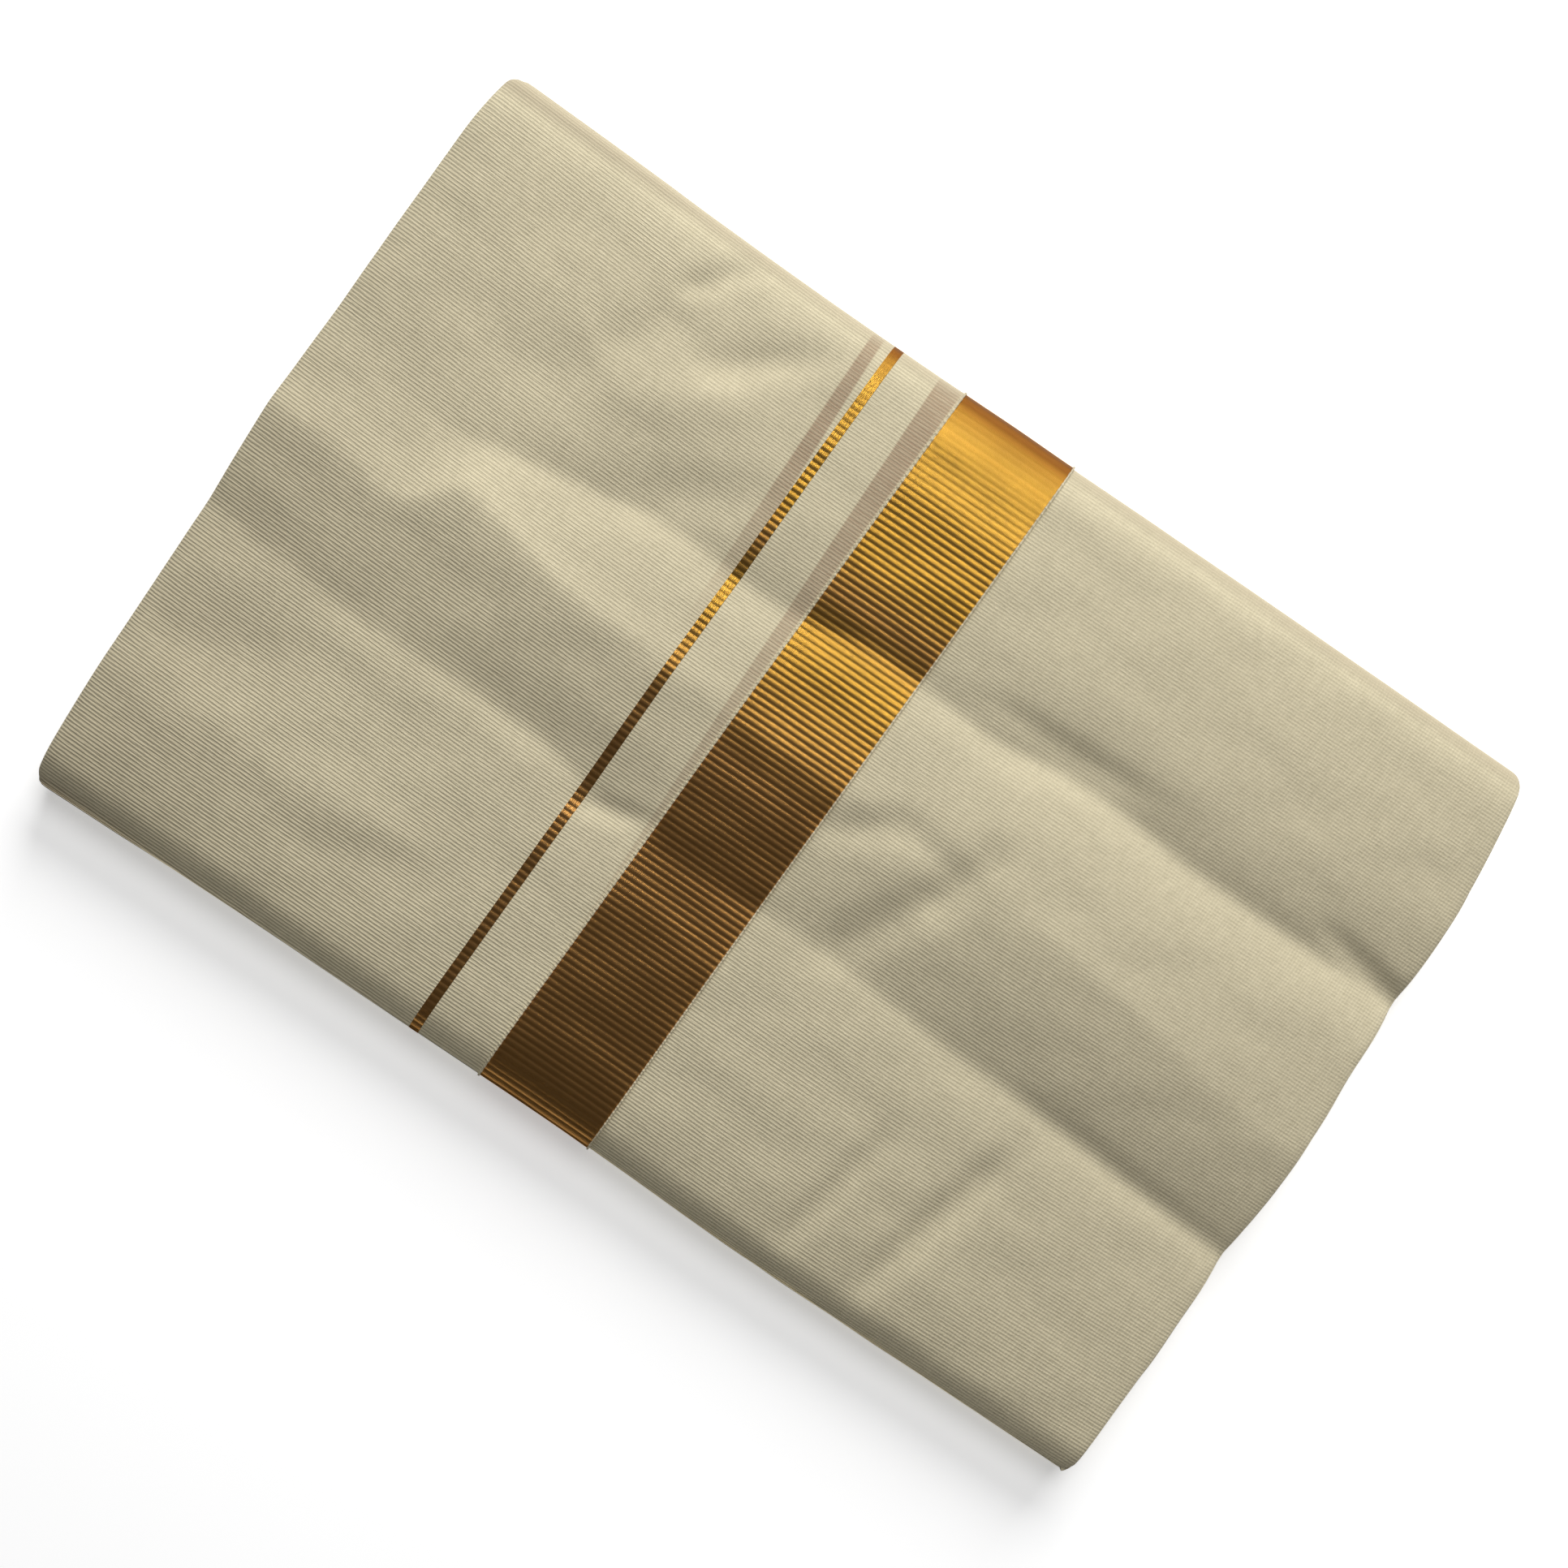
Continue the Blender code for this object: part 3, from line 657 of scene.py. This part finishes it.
def cotton_finish(name):
    material, tree, surface = new_material(name)
    vector, across, along = weave_sockets(tree)
    slub = streaks(tree, vector, 0.14, 1.7, detail=3.0)
    warp = streaks(tree, vector, 2.6, 0.2, detail=3.0)
    mottle = streaks(tree, vector, 0.4, 0.22, detail=3.0)
    grain = streaks(tree, vector, 1.5, 1.5)
    x, y, z = place_sockets(tree)
    crisp = (0.58 - x * 0.0014 - y * 0.0018).limited(0.36, 1.0)
    rib = ((along + (slub - 0.5) * 0.9) * (2 * math.pi / WEFT_PITCH)).sine() * crisp * 0.5 + 0.5
    square = (0.3 + x * 0.005).limited(0.15, 0.9)
    end = ((across + (warp - 0.5) * 0.9) * (2 * math.pi / WARP_PITCH)).sine() * square * 0.5 + 0.5
    yarn = slub * 0.55 + warp * 0.45 + mottle * 0.60 + grain * 0.40
    tone = rib * 0.34 + end * 0.26 + yarn - 0.80
    colour = mixed(tree, tone.clamped(), COTTON_DEEP, COTTON_LIGHT)
    ghost = ghost_share(across, y, z) * (1.15 - rib * 0.6 + (slub - 0.5) * 0.8)
    colour = mixed(tree, ghost.clamped(), colour, GHOST_COLOUR)
    # Painted shade darkens the colour on the long folds and at the left end.
    colour = mixed(tree, painted_shade_share(x, y), colour, PAINTED_SHADE_COLOUR)
    colour = mixed(tree, specks(tree, vector), colour, SPECK_COLOUR)
    plug(tree, surface.inputs["Base Color"], colour)
    surface.inputs["Roughness"].default_value = 0.88
    surface.inputs["Sheen Weight"].default_value = 0.12
    surface.inputs["Specular IOR Level"].default_value = 0.2
    height = rib * 0.7 + end * 0.4 + warp * 0.3 + grain * 0.5
    bumped(tree, surface, height, 0.8, 0.2 * MM)
    return material


cotton = cotton_finish("unbleached cotton")
print(f"{cotton.name}: {len(cotton.node_tree.nodes)} nodes")

# %% [markdown]
# ## Gold zari
#
# Zari is a silk thread wrapped in metal. It is a true metal finish, orange gold, and not very
# glossy. It looks nearly black-brown where it faces the dark ceiling and blazes where a slope
# turns it to the light, so the creases and ribs do most of the work. It is painted browner on
# the front half and in the back wave, as painted shade. On the long folds it is dull, and it
# is also painted dark there as painted shade.

# %% Zari finish
ZARI_LIGHT = (1.0, 0.555, 0.06, 1.0)
ZARI_DEEP = (0.80, 0.395, 0.04, 1.0)
# Painted shade: a browner gold for the front half and the back wave.
ZARI_SHADE_BROWN = (0.86, 0.42, 0.1, 1.0)
# Painted shade: a dark colour for the long folds, where the thread is also dull.
ZARI_PAINTED_SHADE = (0.17, 0.064, 0.01, 1.0)
DULL_SHADE_BACK_FOLD = {"start": 105.5, "over": 9.5}
DULL_SHADE_FRONT_FOLD = {"start": -114.5, "over": -4.0}
SHADE_BROWN_FRONT = {"start": 30.0, "over": -35.0}
SHADE_BROWN_WAVE_Y = 51.0
SHADE_BROWN_WAVE_REACH = 13.0
THREAD_PITCH = 0.3
THREAD_RISE = 0.05 * MM


def dulled_and_shaded(y, z):
    """1 on the long folds, where the thread is dull and painted dark as painted shade, and 0 over the
    rest.
    """
    return y.ramp(**DULL_SHADE_BACK_FOLD) * z.ramp(9.0, 4.0) + y.ramp(**DULL_SHADE_FRONT_FOLD)


def shade_browning(y):
    """How far the gold is painted browner as painted shade: on the front half and in the back wave."""
    in_wave = 1.0 - (y - SHADE_BROWN_WAVE_Y).math("ABSOLUTE") / SHADE_BROWN_WAVE_REACH
    return y.ramp(**SHADE_BROWN_FRONT) + in_wave.clamped() * 0.8


def zari_finish(name):
    material, tree, surface = new_material(name)
    vector, across, along = weave_sockets(tree)
    thread = streaks(tree, vector, 0.5, 5.0)
    cross = streaks(tree, vector, 3.0, 1.0)
    tone = thread * 0.5 + cross * 0.5
    x, y, z = place_sockets(tree)
    dull_and_shade = dulled_and_shaded(y, z)
    colour = mixed(tree, tone.clamped(), ZARI_DEEP, ZARI_LIGHT)
    # Painted shade: the gold turns browner on the front half and in the back wave.
    colour = mixed(tree, shade_browning(y), colour, ZARI_SHADE_BROWN)
    # Painted shade: the long folds are painted dark, besides the duller coat and roughness set below.
    plug(tree, surface.inputs["Base Color"], mixed(tree, dull_and_shade, colour, ZARI_PAINTED_SHADE))
    surface.inputs["Metallic"].default_value = 1.0
    plug(tree, surface.inputs["Coat Weight"], 0.35 - dull_and_shade * 0.35)
    surface.inputs["Coat Roughness"].default_value = 0.5
    plug(tree, surface.inputs["Roughness"], thread * 0.1 + 0.25 + dull_and_shade * 0.25)
    wrap = (across * (math.pi / THREAD_PITCH) + cross * 2.0).sine().math("ABSOLUTE")
    bumped(tree, surface, wrap + thread * 0.3, 0.9, THREAD_RISE)
    return material


zari = zari_finish("gold zari")
print(f"{zari.name}: {len(zari.node_tree.nodes)} nodes")

# %% [markdown]
# ## The top layer
#
# The field left of the fine line and the strip between line and border are plain cotton. Their
# columns end exactly on the border's lines, so the woven cloth shows no joint. The field's left
# end is a fold, and rolls over.

# %% Field and strip


def spaced(width, step, fine_left=False, fine_right=False):
    """Shares of a width: even steps, with close ones where the cloth rolls over a fold."""
    close = np.array([0.0, 0.08, 0.25, 0.5, 0.85, 1.3, 1.9, 2.7, 3.6, 4.6]) * MM / width
    start = close[-1] if fine_left else 0.0
    stop = 1 - close[-1] if fine_right else 1.0
    even = np.linspace(start, stop, max(2, round((stop - start) * width / step)))
    parts = [close[:-1]] if fine_left else []
    parts.append(even)
    if fine_right:
        parts.append(1 - close[-2::-1])
    return np.concatenate(parts)


field_width = float(border_line(LINE_LEFT)(0.0) - left_end(0.0))
field_points = path_points(
    left_end,
    border_line(LINE_LEFT),
    spaced(field_width, 1.5 * MM, fine_left=True),
    lip_at(0.0, field_width),
    ROW_STEP,
)
top_field, girth = shell("top_field", field_points, cotton)
strip_points = path_points(
    border_line(LINE_RIGHT),
    border_line(BAND_LEFT),
    spaced(PLAIN_STRIP_WIDTH, 1.5 * MM),
    no_lip,
    ROW_STEP,
)
top_strip, _ = shell("top_strip", strip_points, cotton)

# %% [markdown]
# ## The second layer
#
# Right of the selvage the next layer shows, a thread's breadth lower. It starts a little way
# under the band, so the selvage lies on it with a fine shadow, and its right end is a fold.

# %% Second layer
SECOND_DEPTH = 0.38 * MM
UNDER_BAND = 5.0 * MM


def second_left(y):
    return border_line(UNDER_BAND)(y)


second_width = float(right_end(0.0) - second_left(0.0))
second_points = path_points(
    second_left,
    right_end,
    spaced(second_width, 1.6 * MM, fine_right=True),
    lip_at(1.0, second_width),
    ROW_STEP,
)
right_of_selvage = (second_points[..., 0] - border_line(0.0)(second_points[..., 1])) / MM
underneath = second_points[..., 2] < 0.1 * MM
settled = np.where(underneath, np.clip(right_of_selvage / 4, 0, 1), 0.0)
second_layer_cloth, second_girth = shell(
    "second_layer_cloth", second_points, cotton, depth=SECOND_DEPTH * (1 - settled)
)

# %% [markdown]
# ## Ribs of the border
#
# The gold stretches are ribbed by the weft, one rib each 2 mm, over the whole band. A rib
# follows the cloth round every fold, which is a job for Geometry Nodes: the tree reads how far
# along the weave each point lies and moves it outwards by a rounded wave. Its inputs are the
# pitch, the height, how uneven the ribs are and how much of them is left near the back fold.

# %% Rib tree and the gold stretches
RIB_PITCH = 2.03
RIB_HEIGHT = 0.125 * MM
RIB_STEP = 0.26 * MM
RIBS = {"Pitch": RIB_PITCH, "Height": RIB_HEIGHT, "Uneven": 0.35, "Faded": 0.2}
FADE_FROM_Y = 80.0
FADE_OVER = 22.0


def rib_tree():
    tree = bpy.data.node_groups.new("weft_ribs", "GeometryNodeTree")
    face = tree.interface
    face.new_socket("Geometry", in_out="INPUT", socket_type="NodeSocketGeometry")
    for name, value in RIBS.items():
        face.new_socket(name, in_out="INPUT", socket_type="NodeSocketFloat").default_value = value
    face.new_socket("Material", in_out="INPUT", socket_type="NodeSocketMaterial")
    face.new_socket("Geometry", in_out="OUTPUT", socket_type="NodeSocketGeometry")
    given = tree.nodes.new("NodeGroupInput").outputs
    weave = add_node(
        tree, "GeometryNodeInputNamedAttribute", {"data_type": "FLOAT_VECTOR"}, {"Name": "weave"}
    )
    outward = add_node(
        tree, "GeometryNodeInputNamedAttribute", {"data_type": "FLOAT_VECTOR"}, {"Name": "outward"}
    )
    parts = add_node(tree, "ShaderNodeSeparateXYZ", inputs={0: weave.outputs["Attribute"]})
    along, face_side = Sum(tree, parts.outputs[1]), Sum(tree, parts.outputs[2])
    stretched = add_node(
        tree,
        "ShaderNodeVectorMath",
        {"operation": "MULTIPLY"},
        {0: weave.outputs["Attribute"], 1: (0.09, 0.5, 0.0)},
    )
    noise = add_node(
        tree, "ShaderNodeTexNoise", inputs={"Vector": stretched.outputs[0], "Scale": 1.0}
    )
    wander = Sum(tree, noise.outputs[0]) - 0.5
    phase = (along + wander * 0.5) / Sum(tree, given["Pitch"]) * (2 * math.pi)
    size = (wander * Sum(tree, given["Uneven"]) * 2.0 + 1.0) * Sum(tree, given["Height"]) * 0.5
    place = add_node(tree, "GeometryNodeInputPosition")
    height = add_node(tree, "ShaderNodeSeparateXYZ", inputs={0: place.outputs[0]})
    above = (Sum(tree, height.outputs[2]) / (0.6 * MM)).clamped()
    to_fold = (Sum(tree, height.outputs[1]) / MM - FADE_FROM_Y) / FADE_OVER
    above = above * (1.0 - to_fold.clamped() * (1.0 - Sum(tree, given["Faded"])))
    round_rib = (phase * 0.5).math("COSINE").math("ABSOLUTE") * 2.0 - 1.0
    rise = round_rib * size * face_side * above
    scaled = add_node(
        tree,
        "ShaderNodeVectorMath",
        {"operation": "SCALE"},
        {0: outward.outputs["Attribute"], "Scale": rise},
    )
    moved = add_node(
        tree,
        "GeometryNodeSetPosition",
        inputs={"Geometry": given["Geometry"], "Offset": scaled.outputs[0]},
    )
    real = add_node(tree, "GeometryNodeRealizeInstances", inputs={0: moved.outputs[0]})
    painted = add_node(
        tree,
        "GeometryNodeSetMaterial",
        inputs={"Geometry": real.outputs[0], "Material": given["Material"]},
    )
    add_node(tree, "NodeGroupOutput", inputs={0: painted.outputs[0]})
    return tree


def apply_tree(obj, tree, **values):
    """Runs a tree on a piece with these named inputs, and keeps only the plain mesh."""
    modifier = obj.modifiers.new("tree", "NODES")
    modifier.node_group = tree
    for item in tree.interface.items_tree:
        if item.in_out == "INPUT" and item.name in values:
            modifier[item.identifier] = values[item.name]
    graph = bpy.context.evaluated_depsgraph_get()
    mesh = bpy.data.meshes.new_from_object(obj.evaluated_get(graph))
    obj.modifiers.remove(modifier)
    old, obj.data = obj.data, mesh
    bpy.data.meshes.remove(old)
    mesh.name = obj.name
    soften(mesh)
    print(f"{obj.name}: {len(mesh.polygons)} faces after its tree")
    return obj


ribs = rib_tree()
band_points = path_points(
    border_line(BAND_LEFT), border_line(0.0), spaced(BAND_WIDTH, 3.0 * MM), no_lip, RIB_STEP
)
zari_band, _ = shell("zari_band", band_points, zari)
apply_tree(zari_band, ribs, Material=zari, **RIBS)
line_points = path_points(
    border_line(LINE_LEFT),
    border_line(LINE_RIGHT),
    spaced(FINE_LINE_WIDTH, 1.0 * MM),
    no_lip,
    RIB_STEP,
)
zari_line, _ = shell("zari_line", line_points, zari)
apply_tree(zari_line, ribs, Material=zari, **RIBS)

# %% [markdown]
# ## Cords along the border
#
# A cream cord runs along the left edge of the gold band and a thinner one binds the selvage.
# The ribs pinch them, so each looks like a row of beads. A cord is a path that Geometry Nodes
# turn into a tube: its inputs are the radius, the pitch of the beads and how deep they are.
# Where the packet lies on the table the cords are pressed up into the cloth.

# %% Cord tree and the two cords
CREAM_RADIUS = 0.36 * MM
SELVAGE_RADIUS = 0.3 * MM
BEADS = 0.15


def cord_tree():
    tree = bpy.data.node_groups.new("beaded_cord", "GeometryNodeTree")
    face = tree.interface
    face.new_socket("Geometry", in_out="INPUT", socket_type="NodeSocketGeometry")
    for name, value in (("Radius", CREAM_RADIUS), ("Pitch", RIB_PITCH), ("Beads", BEADS)):
        face.new_socket(name, in_out="INPUT", socket_type="NodeSocketFloat").default_value = value
    face.new_socket("Material", in_out="INPUT", socket_type="NodeSocketMaterial")
    face.new_socket("Geometry", in_out="OUTPUT", socket_type="NodeSocketGeometry")
    given = tree.nodes.new("NodeGroupInput").outputs
    weave = add_node(
        tree, "GeometryNodeInputNamedAttribute", {"data_type": "FLOAT_VECTOR"}, {"Name": "weave"}
    )
    parts = add_node(tree, "ShaderNodeSeparateXYZ", inputs={0: weave.outputs["Attribute"]})
    phase = Sum(tree, parts.outputs[1]) / Sum(tree, given["Pitch"]) * (2 * math.pi)
    size = phase.math("COSINE") * Sum(tree, given["Beads"]) + 1.0
    path = add_node(tree, "GeometryNodeMeshToCurve", inputs={0: given["Geometry"]})
    ring = add_node(
        tree,
        "GeometryNodeCurvePrimitiveCircle",
        inputs={"Resolution": 7, "Radius": given["Radius"]},
    )
    tube = add_node(tree, "GeometryNodeCurveToMesh", inputs={"Fill Caps": True})
    plug(tree, tube.inputs["Curve"], path.outputs[0])
    plug(tree, tube.inputs["Profile Curve"], ring.outputs[0])
    plug(tree, tube.inputs["Scale"], size)
    real = add_node(tree, "GeometryNodeRealizeInstances", inputs={0: tube.outputs[0]})
    painted = add_node(
        tree,
        "GeometryNodeSetMaterial",
        inputs={"Geometry": real.outputs[0], "Material": given["Material"]},
    )
    add_node(tree, "NodeGroupOutput", inputs={0: painted.outputs[0]})
    return tree


cord_nodes = cord_tree()


def cord(name, points, column, radius):
    """A beaded cord along one column of points."""
    normal = normals_of(points)[column]
    across, along = weave_places(points)
    path = points[column] + normal * radius * 0.5
    path[:, 2] = np.maximum(path[:, 2], radius * (1 + BEADS))
    mesh = bpy.data.meshes.new(name)
    mesh.from_pydata(path.tolist(), [(i, i + 1) for i in range(len(path) - 1)], [])
    weave = np.stack([across[column], along[column], np.ones(len(path))], axis=-1)
    mesh.attributes.new("weave", "FLOAT_VECTOR", "POINT").data.foreach_set("vector", weave.ravel())
    obj = bpy.data.objects.new(name, mesh)
    bpy.context.scene.collection.objects.link(obj)
    PIECES[name] = obj
    sizes = {"Radius": radius, "Pitch": RIB_PITCH, "Beads": BEADS}
    return apply_tree(obj, cord_nodes, Material=cotton, **sizes)


cords = [
    cord("cream_cord", band_points, 0, CREAM_RADIUS),
    cord("selvage_cord", band_points, -1, SELVAGE_RADIUS),
]

# %% [markdown]
# ## Leaves at the short ends
#
# Sixteen leaves lie one on another, and each short end shows their folds as rounded lips, two
# to a leaf. Followed round the folds at the back and at the front, eight leaves make one closed
# loop and the other eight a second loop inside it. A profile with two lobes is swept along each
# loop. The leaves don't end level: each has its own set-back.

# %% Leaf folds
LEAF_LOOPS = ((1, 16, 13, 4, 5, 12, 9, 8), (2, 15, 14, 3, 6, 11, 10, 7))
LEAF_SET_BACK = (0.3, 0.9, 0.5, 1.3, 0.7, 0.4, 1.1, 0.6, 0.8, 1.4, 0.5, 1.0, 0.4, 1.2, 0.8, 0.3)
LEAF_LIP = (
    (5.0, -1.0),
    (0.35, -1.0),
    (0.1, -0.86),
    (0.0, -0.5),
    (0.1, -0.16),
    (0.6, 0.0),
    (0.1, 0.16),
    (0.0, 0.5),
    (0.1, 0.86),
    (0.35, 1.0),
    (5.0, 1.0),
)
LEAF_TOP_GAP = 1.3 * MM
LEAF_STEP = 0.95 * MM
LEAF_BACK_STEP = 0.88 * MM
LEAF_HALF = 0.36 * MM
COVER = 0.75 * MM
LOWEST_LEAF = 0.55 * MM
LEAF_RISE = 0.94 * MM


def leaf_height(leaf, y, top):
    """Height of the middle of a leaf, 1 on top and 16 at the bottom."""
    if leaf > 8:
        return LOWEST_LEAF + (16.5 - leaf) * LEAF_RISE + 0 * y
    low = SLIT_HEIGHT + COVER
    return low + (top(y) - LEAF_TOP_GAP - low) * (8.5 - leaf) / 8


def front_fold(leaf, front):
    """Middle line and reach of the front fold that a leaf runs into."""
    if leaf <= 8:
        nested = min(leaf, 9 - leaf) - 1
        return front + UPPER_FRONT_INSET + UPPER_FRONT_ROLL, (
            UPPER_FRONT_ROLL - COVER - nested * LEAF_STEP
        )
    nested = 0 if leaf in (9, 12, 13, 16) else 1
    tuck = LOWER_TUCK if leaf <= 12 else 0.0
    return front + tuck + LOWER_FRONT_ROLL, LOWER_FRONT_ROLL - COVER - nested * LEAF_STEP


def leaf_loop(leaves, end_x, at_x):
    """Points in the YZ plane round a closed loop of leaves, with set-back and thickness."""
    front = float(smooth_line(FRONT_EDGE, "x", "y", at_x))
    back = float(smooth_line(BACK_EDGE, "x", "y", at_x))
    last = back - BACK_ROLL
    rows = []

    def top(y):
        return top_height(end_x(y) * 0.985, y)

    for place, leaf in enumerate(leaves):
        onward = leaves[(place + 1) % len(leaves)]
        first, _ = front_fold(leaf, front)
        y = np.linspace(first, last, 70)[:-1]
        to_back = place % 2 == 0
        y = y if to_back else np.linspace(last, first, 70)[:-1]
        set_back = np.full(len(y), LEAF_SET_BACK[leaf - 1])
        rows.append((y, leaf_height(leaf, y, top), set_back))
        turn = np.linspace(0, math.pi, 17)[:-1]
        if to_back:
            middle, side = last, 1
            reach = BACK_ROLL - COVER - (min(leaf, 17 - leaf) - 1) * LEAF_BACK_STEP
        else:
            (middle, reach), side = front_fold(leaf, front), -1
        y = middle + side * reach * np.sin(turn)
        a, b = (leaf_height(k, y, top) for k in (leaf, onward))
        share = (1 - np.cos(turn)) / 2
        set_back = LEAF_SET_BACK[leaf - 1] * (1 - share) + LEAF_SET_BACK[onward - 1] * share
        rows.append((y, a * (1 - share) + b * share, set_back))
    return [np.concatenate(parts) for parts in zip(*rows)]


def leaf_folds(name, end_x, inward, at_x):
    """The lips of all leaves at one short end, as one joined mesh."""
    places, faces, weave = [], [], []
    lip = np.array(LEAF_LIP)
    for leaves in LEAF_LOOPS:
        y, z, set_back = leaf_loop(leaves, end_x, at_x)
        path = np.stack([y, z], axis=-1)
        tangent = np.roll(path, -1, axis=0) - np.roll(path, 1, axis=0)
        tangent /= np.linalg.norm(tangent, axis=-1, keepdims=True)
        wobble = 0.22 * np.sin(y / MM / 9 + z / MM * 1.9) + 0.15 * np.sin(y / MM / 3.7 + z / MM)
        side = lip[None, :, 1] * LEAF_HALF
        yy = y[:, None] + tangent[:, 1:2] * side
        zz = z[:, None] - tangent[:, 0:1] * side
        deep = (lip[None, :, 0] + (set_back + wobble)[:, None]) * MM
        xx = end_x(yy) + inward * deep
        start = len(places)
        count, sides = xx.shape
        places += np.stack([xx, yy, zz], axis=-1).reshape(-1, 3).tolist()
        run = np.concatenate([[0], np.cumsum(np.linalg.norm(np.diff(path, axis=0), axis=-1))]) / MM
        u, v = np.broadcast_arrays(lip[None, :, 0] - 100.0, run[:, None])
        weave.append(np.stack([u, v, np.ones_like(v)], axis=-1).reshape(-1, 3))
        number = np.arange(count * sides).reshape(count, sides) + start
        following, beside = np.roll(number, -1, axis=0), np.roll(number, -1, axis=1)
        across = np.roll(following, -1, axis=1)
        faces += np.stack([number, following, across, beside], axis=-1).reshape(-1, 4).tolist()
    mesh = bpy.data.meshes.new(name)
    mesh.from_pydata(places, [], faces)
    mesh.attributes.new("weave", "FLOAT_VECTOR", "POINT").data.foreach_set(
        "vector", np.concatenate(weave).ravel()
    )
    sorted_out = bmesh.new()
    sorted_out.from_mesh(mesh)
    bmesh.ops.recalc_face_normals(sorted_out, faces=sorted_out.faces)
    sorted_out.to_mesh(mesh)
    sorted_out.free()
    soften(mesh)
    mesh.materials.append(cotton)
    obj = bpy.data.objects.new(name, mesh)
    bpy.context.scene.collection.objects.link(obj)
    PIECES[name] = obj
    print(f"{name}: {len(faces)} faces")
    return obj


leaf_pieces = [
    leaf_folds("left_leaf_folds", left_end, 1.0, -PACKET_LENGTH / 2),
    leaf_folds("right_leaf_folds", right_end, -1.0, PACKET_LENGTH / 2),
]

# %% [markdown]
# ## Floor, light and camera
#
# The packet lies on a plain pale floor. The camera looks straight down with the packet turned
# by 34.5 degrees. A large soft light comes low from beyond the closed fold, and a weaker one
# from higher up keeps the gold near that fold bright.

# %% Stage
IMAGE_WIDTH = 0.4405
CAMERA_HEIGHT = 0.55
CAMERA_TURN = 34.545
CAMERA_PLACE = (0.54 * MM, -1.27 * MM, CAMERA_HEIGHT + 12.0 * MM)
FLOOR_HALF = 3.0
FLOOR_Z = -0.2 * MM
ROOM_STRENGTH = 0.04
WHITE = (1.0, 1.0, 1.0, 1.0)
LIGHTS = (
    {"name": "key", "tilt": 66.0, "turn": 7.0, "away": 1.8, "size": 1.13, "watts": 41.0},
    {"name": "high light", "tilt": 27.0, "turn": 3.0, "away": 1.35, "size": 0.68, "watts": 5.9},
)


def make_floor():
    mesh = bpy.data.meshes.new("floor")
    signs = ((-1, -1), (1, -1), (1, 1), (-1, 1))
    corners = [(x * FLOOR_HALF, y * FLOOR_HALF, FLOOR_Z) for x, y in signs]
    mesh.from_pydata(corners, [], [(0, 1, 2, 3)])
    material, tree, surface = new_material("pale floor")
    surface.inputs["Base Color"].default_value = (0.93, 0.93, 0.93, 1.0)
    surface.inputs["Emission Color"].default_value = WHITE
    surface.inputs["Emission Strength"].default_value = 0.45
    surface.inputs["Roughness"].default_value = 0.9
    surface.inputs["Specular IOR Level"].default_value = 0.0
    mesh.materials.append(material)
    obj = bpy.data.objects.new("floor", mesh)
    bpy.context.scene.collection.objects.link(obj)


def make_light(name, from_place, size, power):
    """A round soft light that faces the packet."""
    light = bpy.data.lights.new(name, "AREA")
    light.shape = "DISK"
    light.size = size
    light.energy = power
    obj = bpy.data.objects.new(name, light)
    obj.location = from_place
    direction = -obj.location.normalized()
    obj.rotation_euler = direction.to_track_quat("-Z", "Y").to_euler()
    bpy.context.scene.collection.objects.link(obj)


def place_of(tilt, turn, away):
    """A place that far away, tilted from straight above and turned to the left of the back."""
    tilt, turn = math.radians(tilt), math.radians(turn)
    flat = away * math.sin(tilt)
    return -flat * math.sin(turn), flat * math.cos(turn), away * math.cos(tilt)


make_floor()
for light in LIGHTS:
    place = place_of(light["tilt"], light["turn"], light["away"])
    make_light(light["name"], place, light["size"], light["watts"])

world = bpy.data.worlds.new("room")
world.use_nodes = True
world.node_tree.nodes["Background"].inputs["Color"].default_value = WHITE
world.node_tree.nodes["Background"].inputs["Strength"].default_value = ROOM_STRENGTH
bpy.context.scene.world = world

camera_data = bpy.data.cameras.new("camera")
camera_data.sensor_width = 36.0
camera_data.lens = 36.0 * CAMERA_HEIGHT / IMAGE_WIDTH
camera = bpy.data.objects.new("camera", camera_data)
camera.location = CAMERA_PLACE
camera.rotation_euler = (0.0, 0.0, math.radians(CAMERA_TURN))
bpy.context.scene.collection.objects.link(camera)
bpy.context.scene.camera = camera
bpy.context.scene.view_settings.view_transform = "Standard"
print(f"the camera is {camera.location.z:.3f} m above the table")

# %% [markdown]
# ## Attaching the pieces to their body
#
# Every piece rides on the one body and stands for the solids it covers, which are hidden.

# %% Body and hidden solids
REPLACED = {
    "top_field": ("top_layer_field",),
    "top_strip": ("top_layer_strip",),
    "zari_band": ("zari_border_band",),
    "zari_line": ("zari_fine_line",),
    "second_layer_cloth": ("second_layer",),
    "left_leaf_folds": ("hidden_layers",),
    "right_leaf_folds": ("hidden_layers",),
}
for name, obj in PIECES.items():
    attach(obj, "root")
    if name in REPLACED:
        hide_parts(*REPLACED[name])
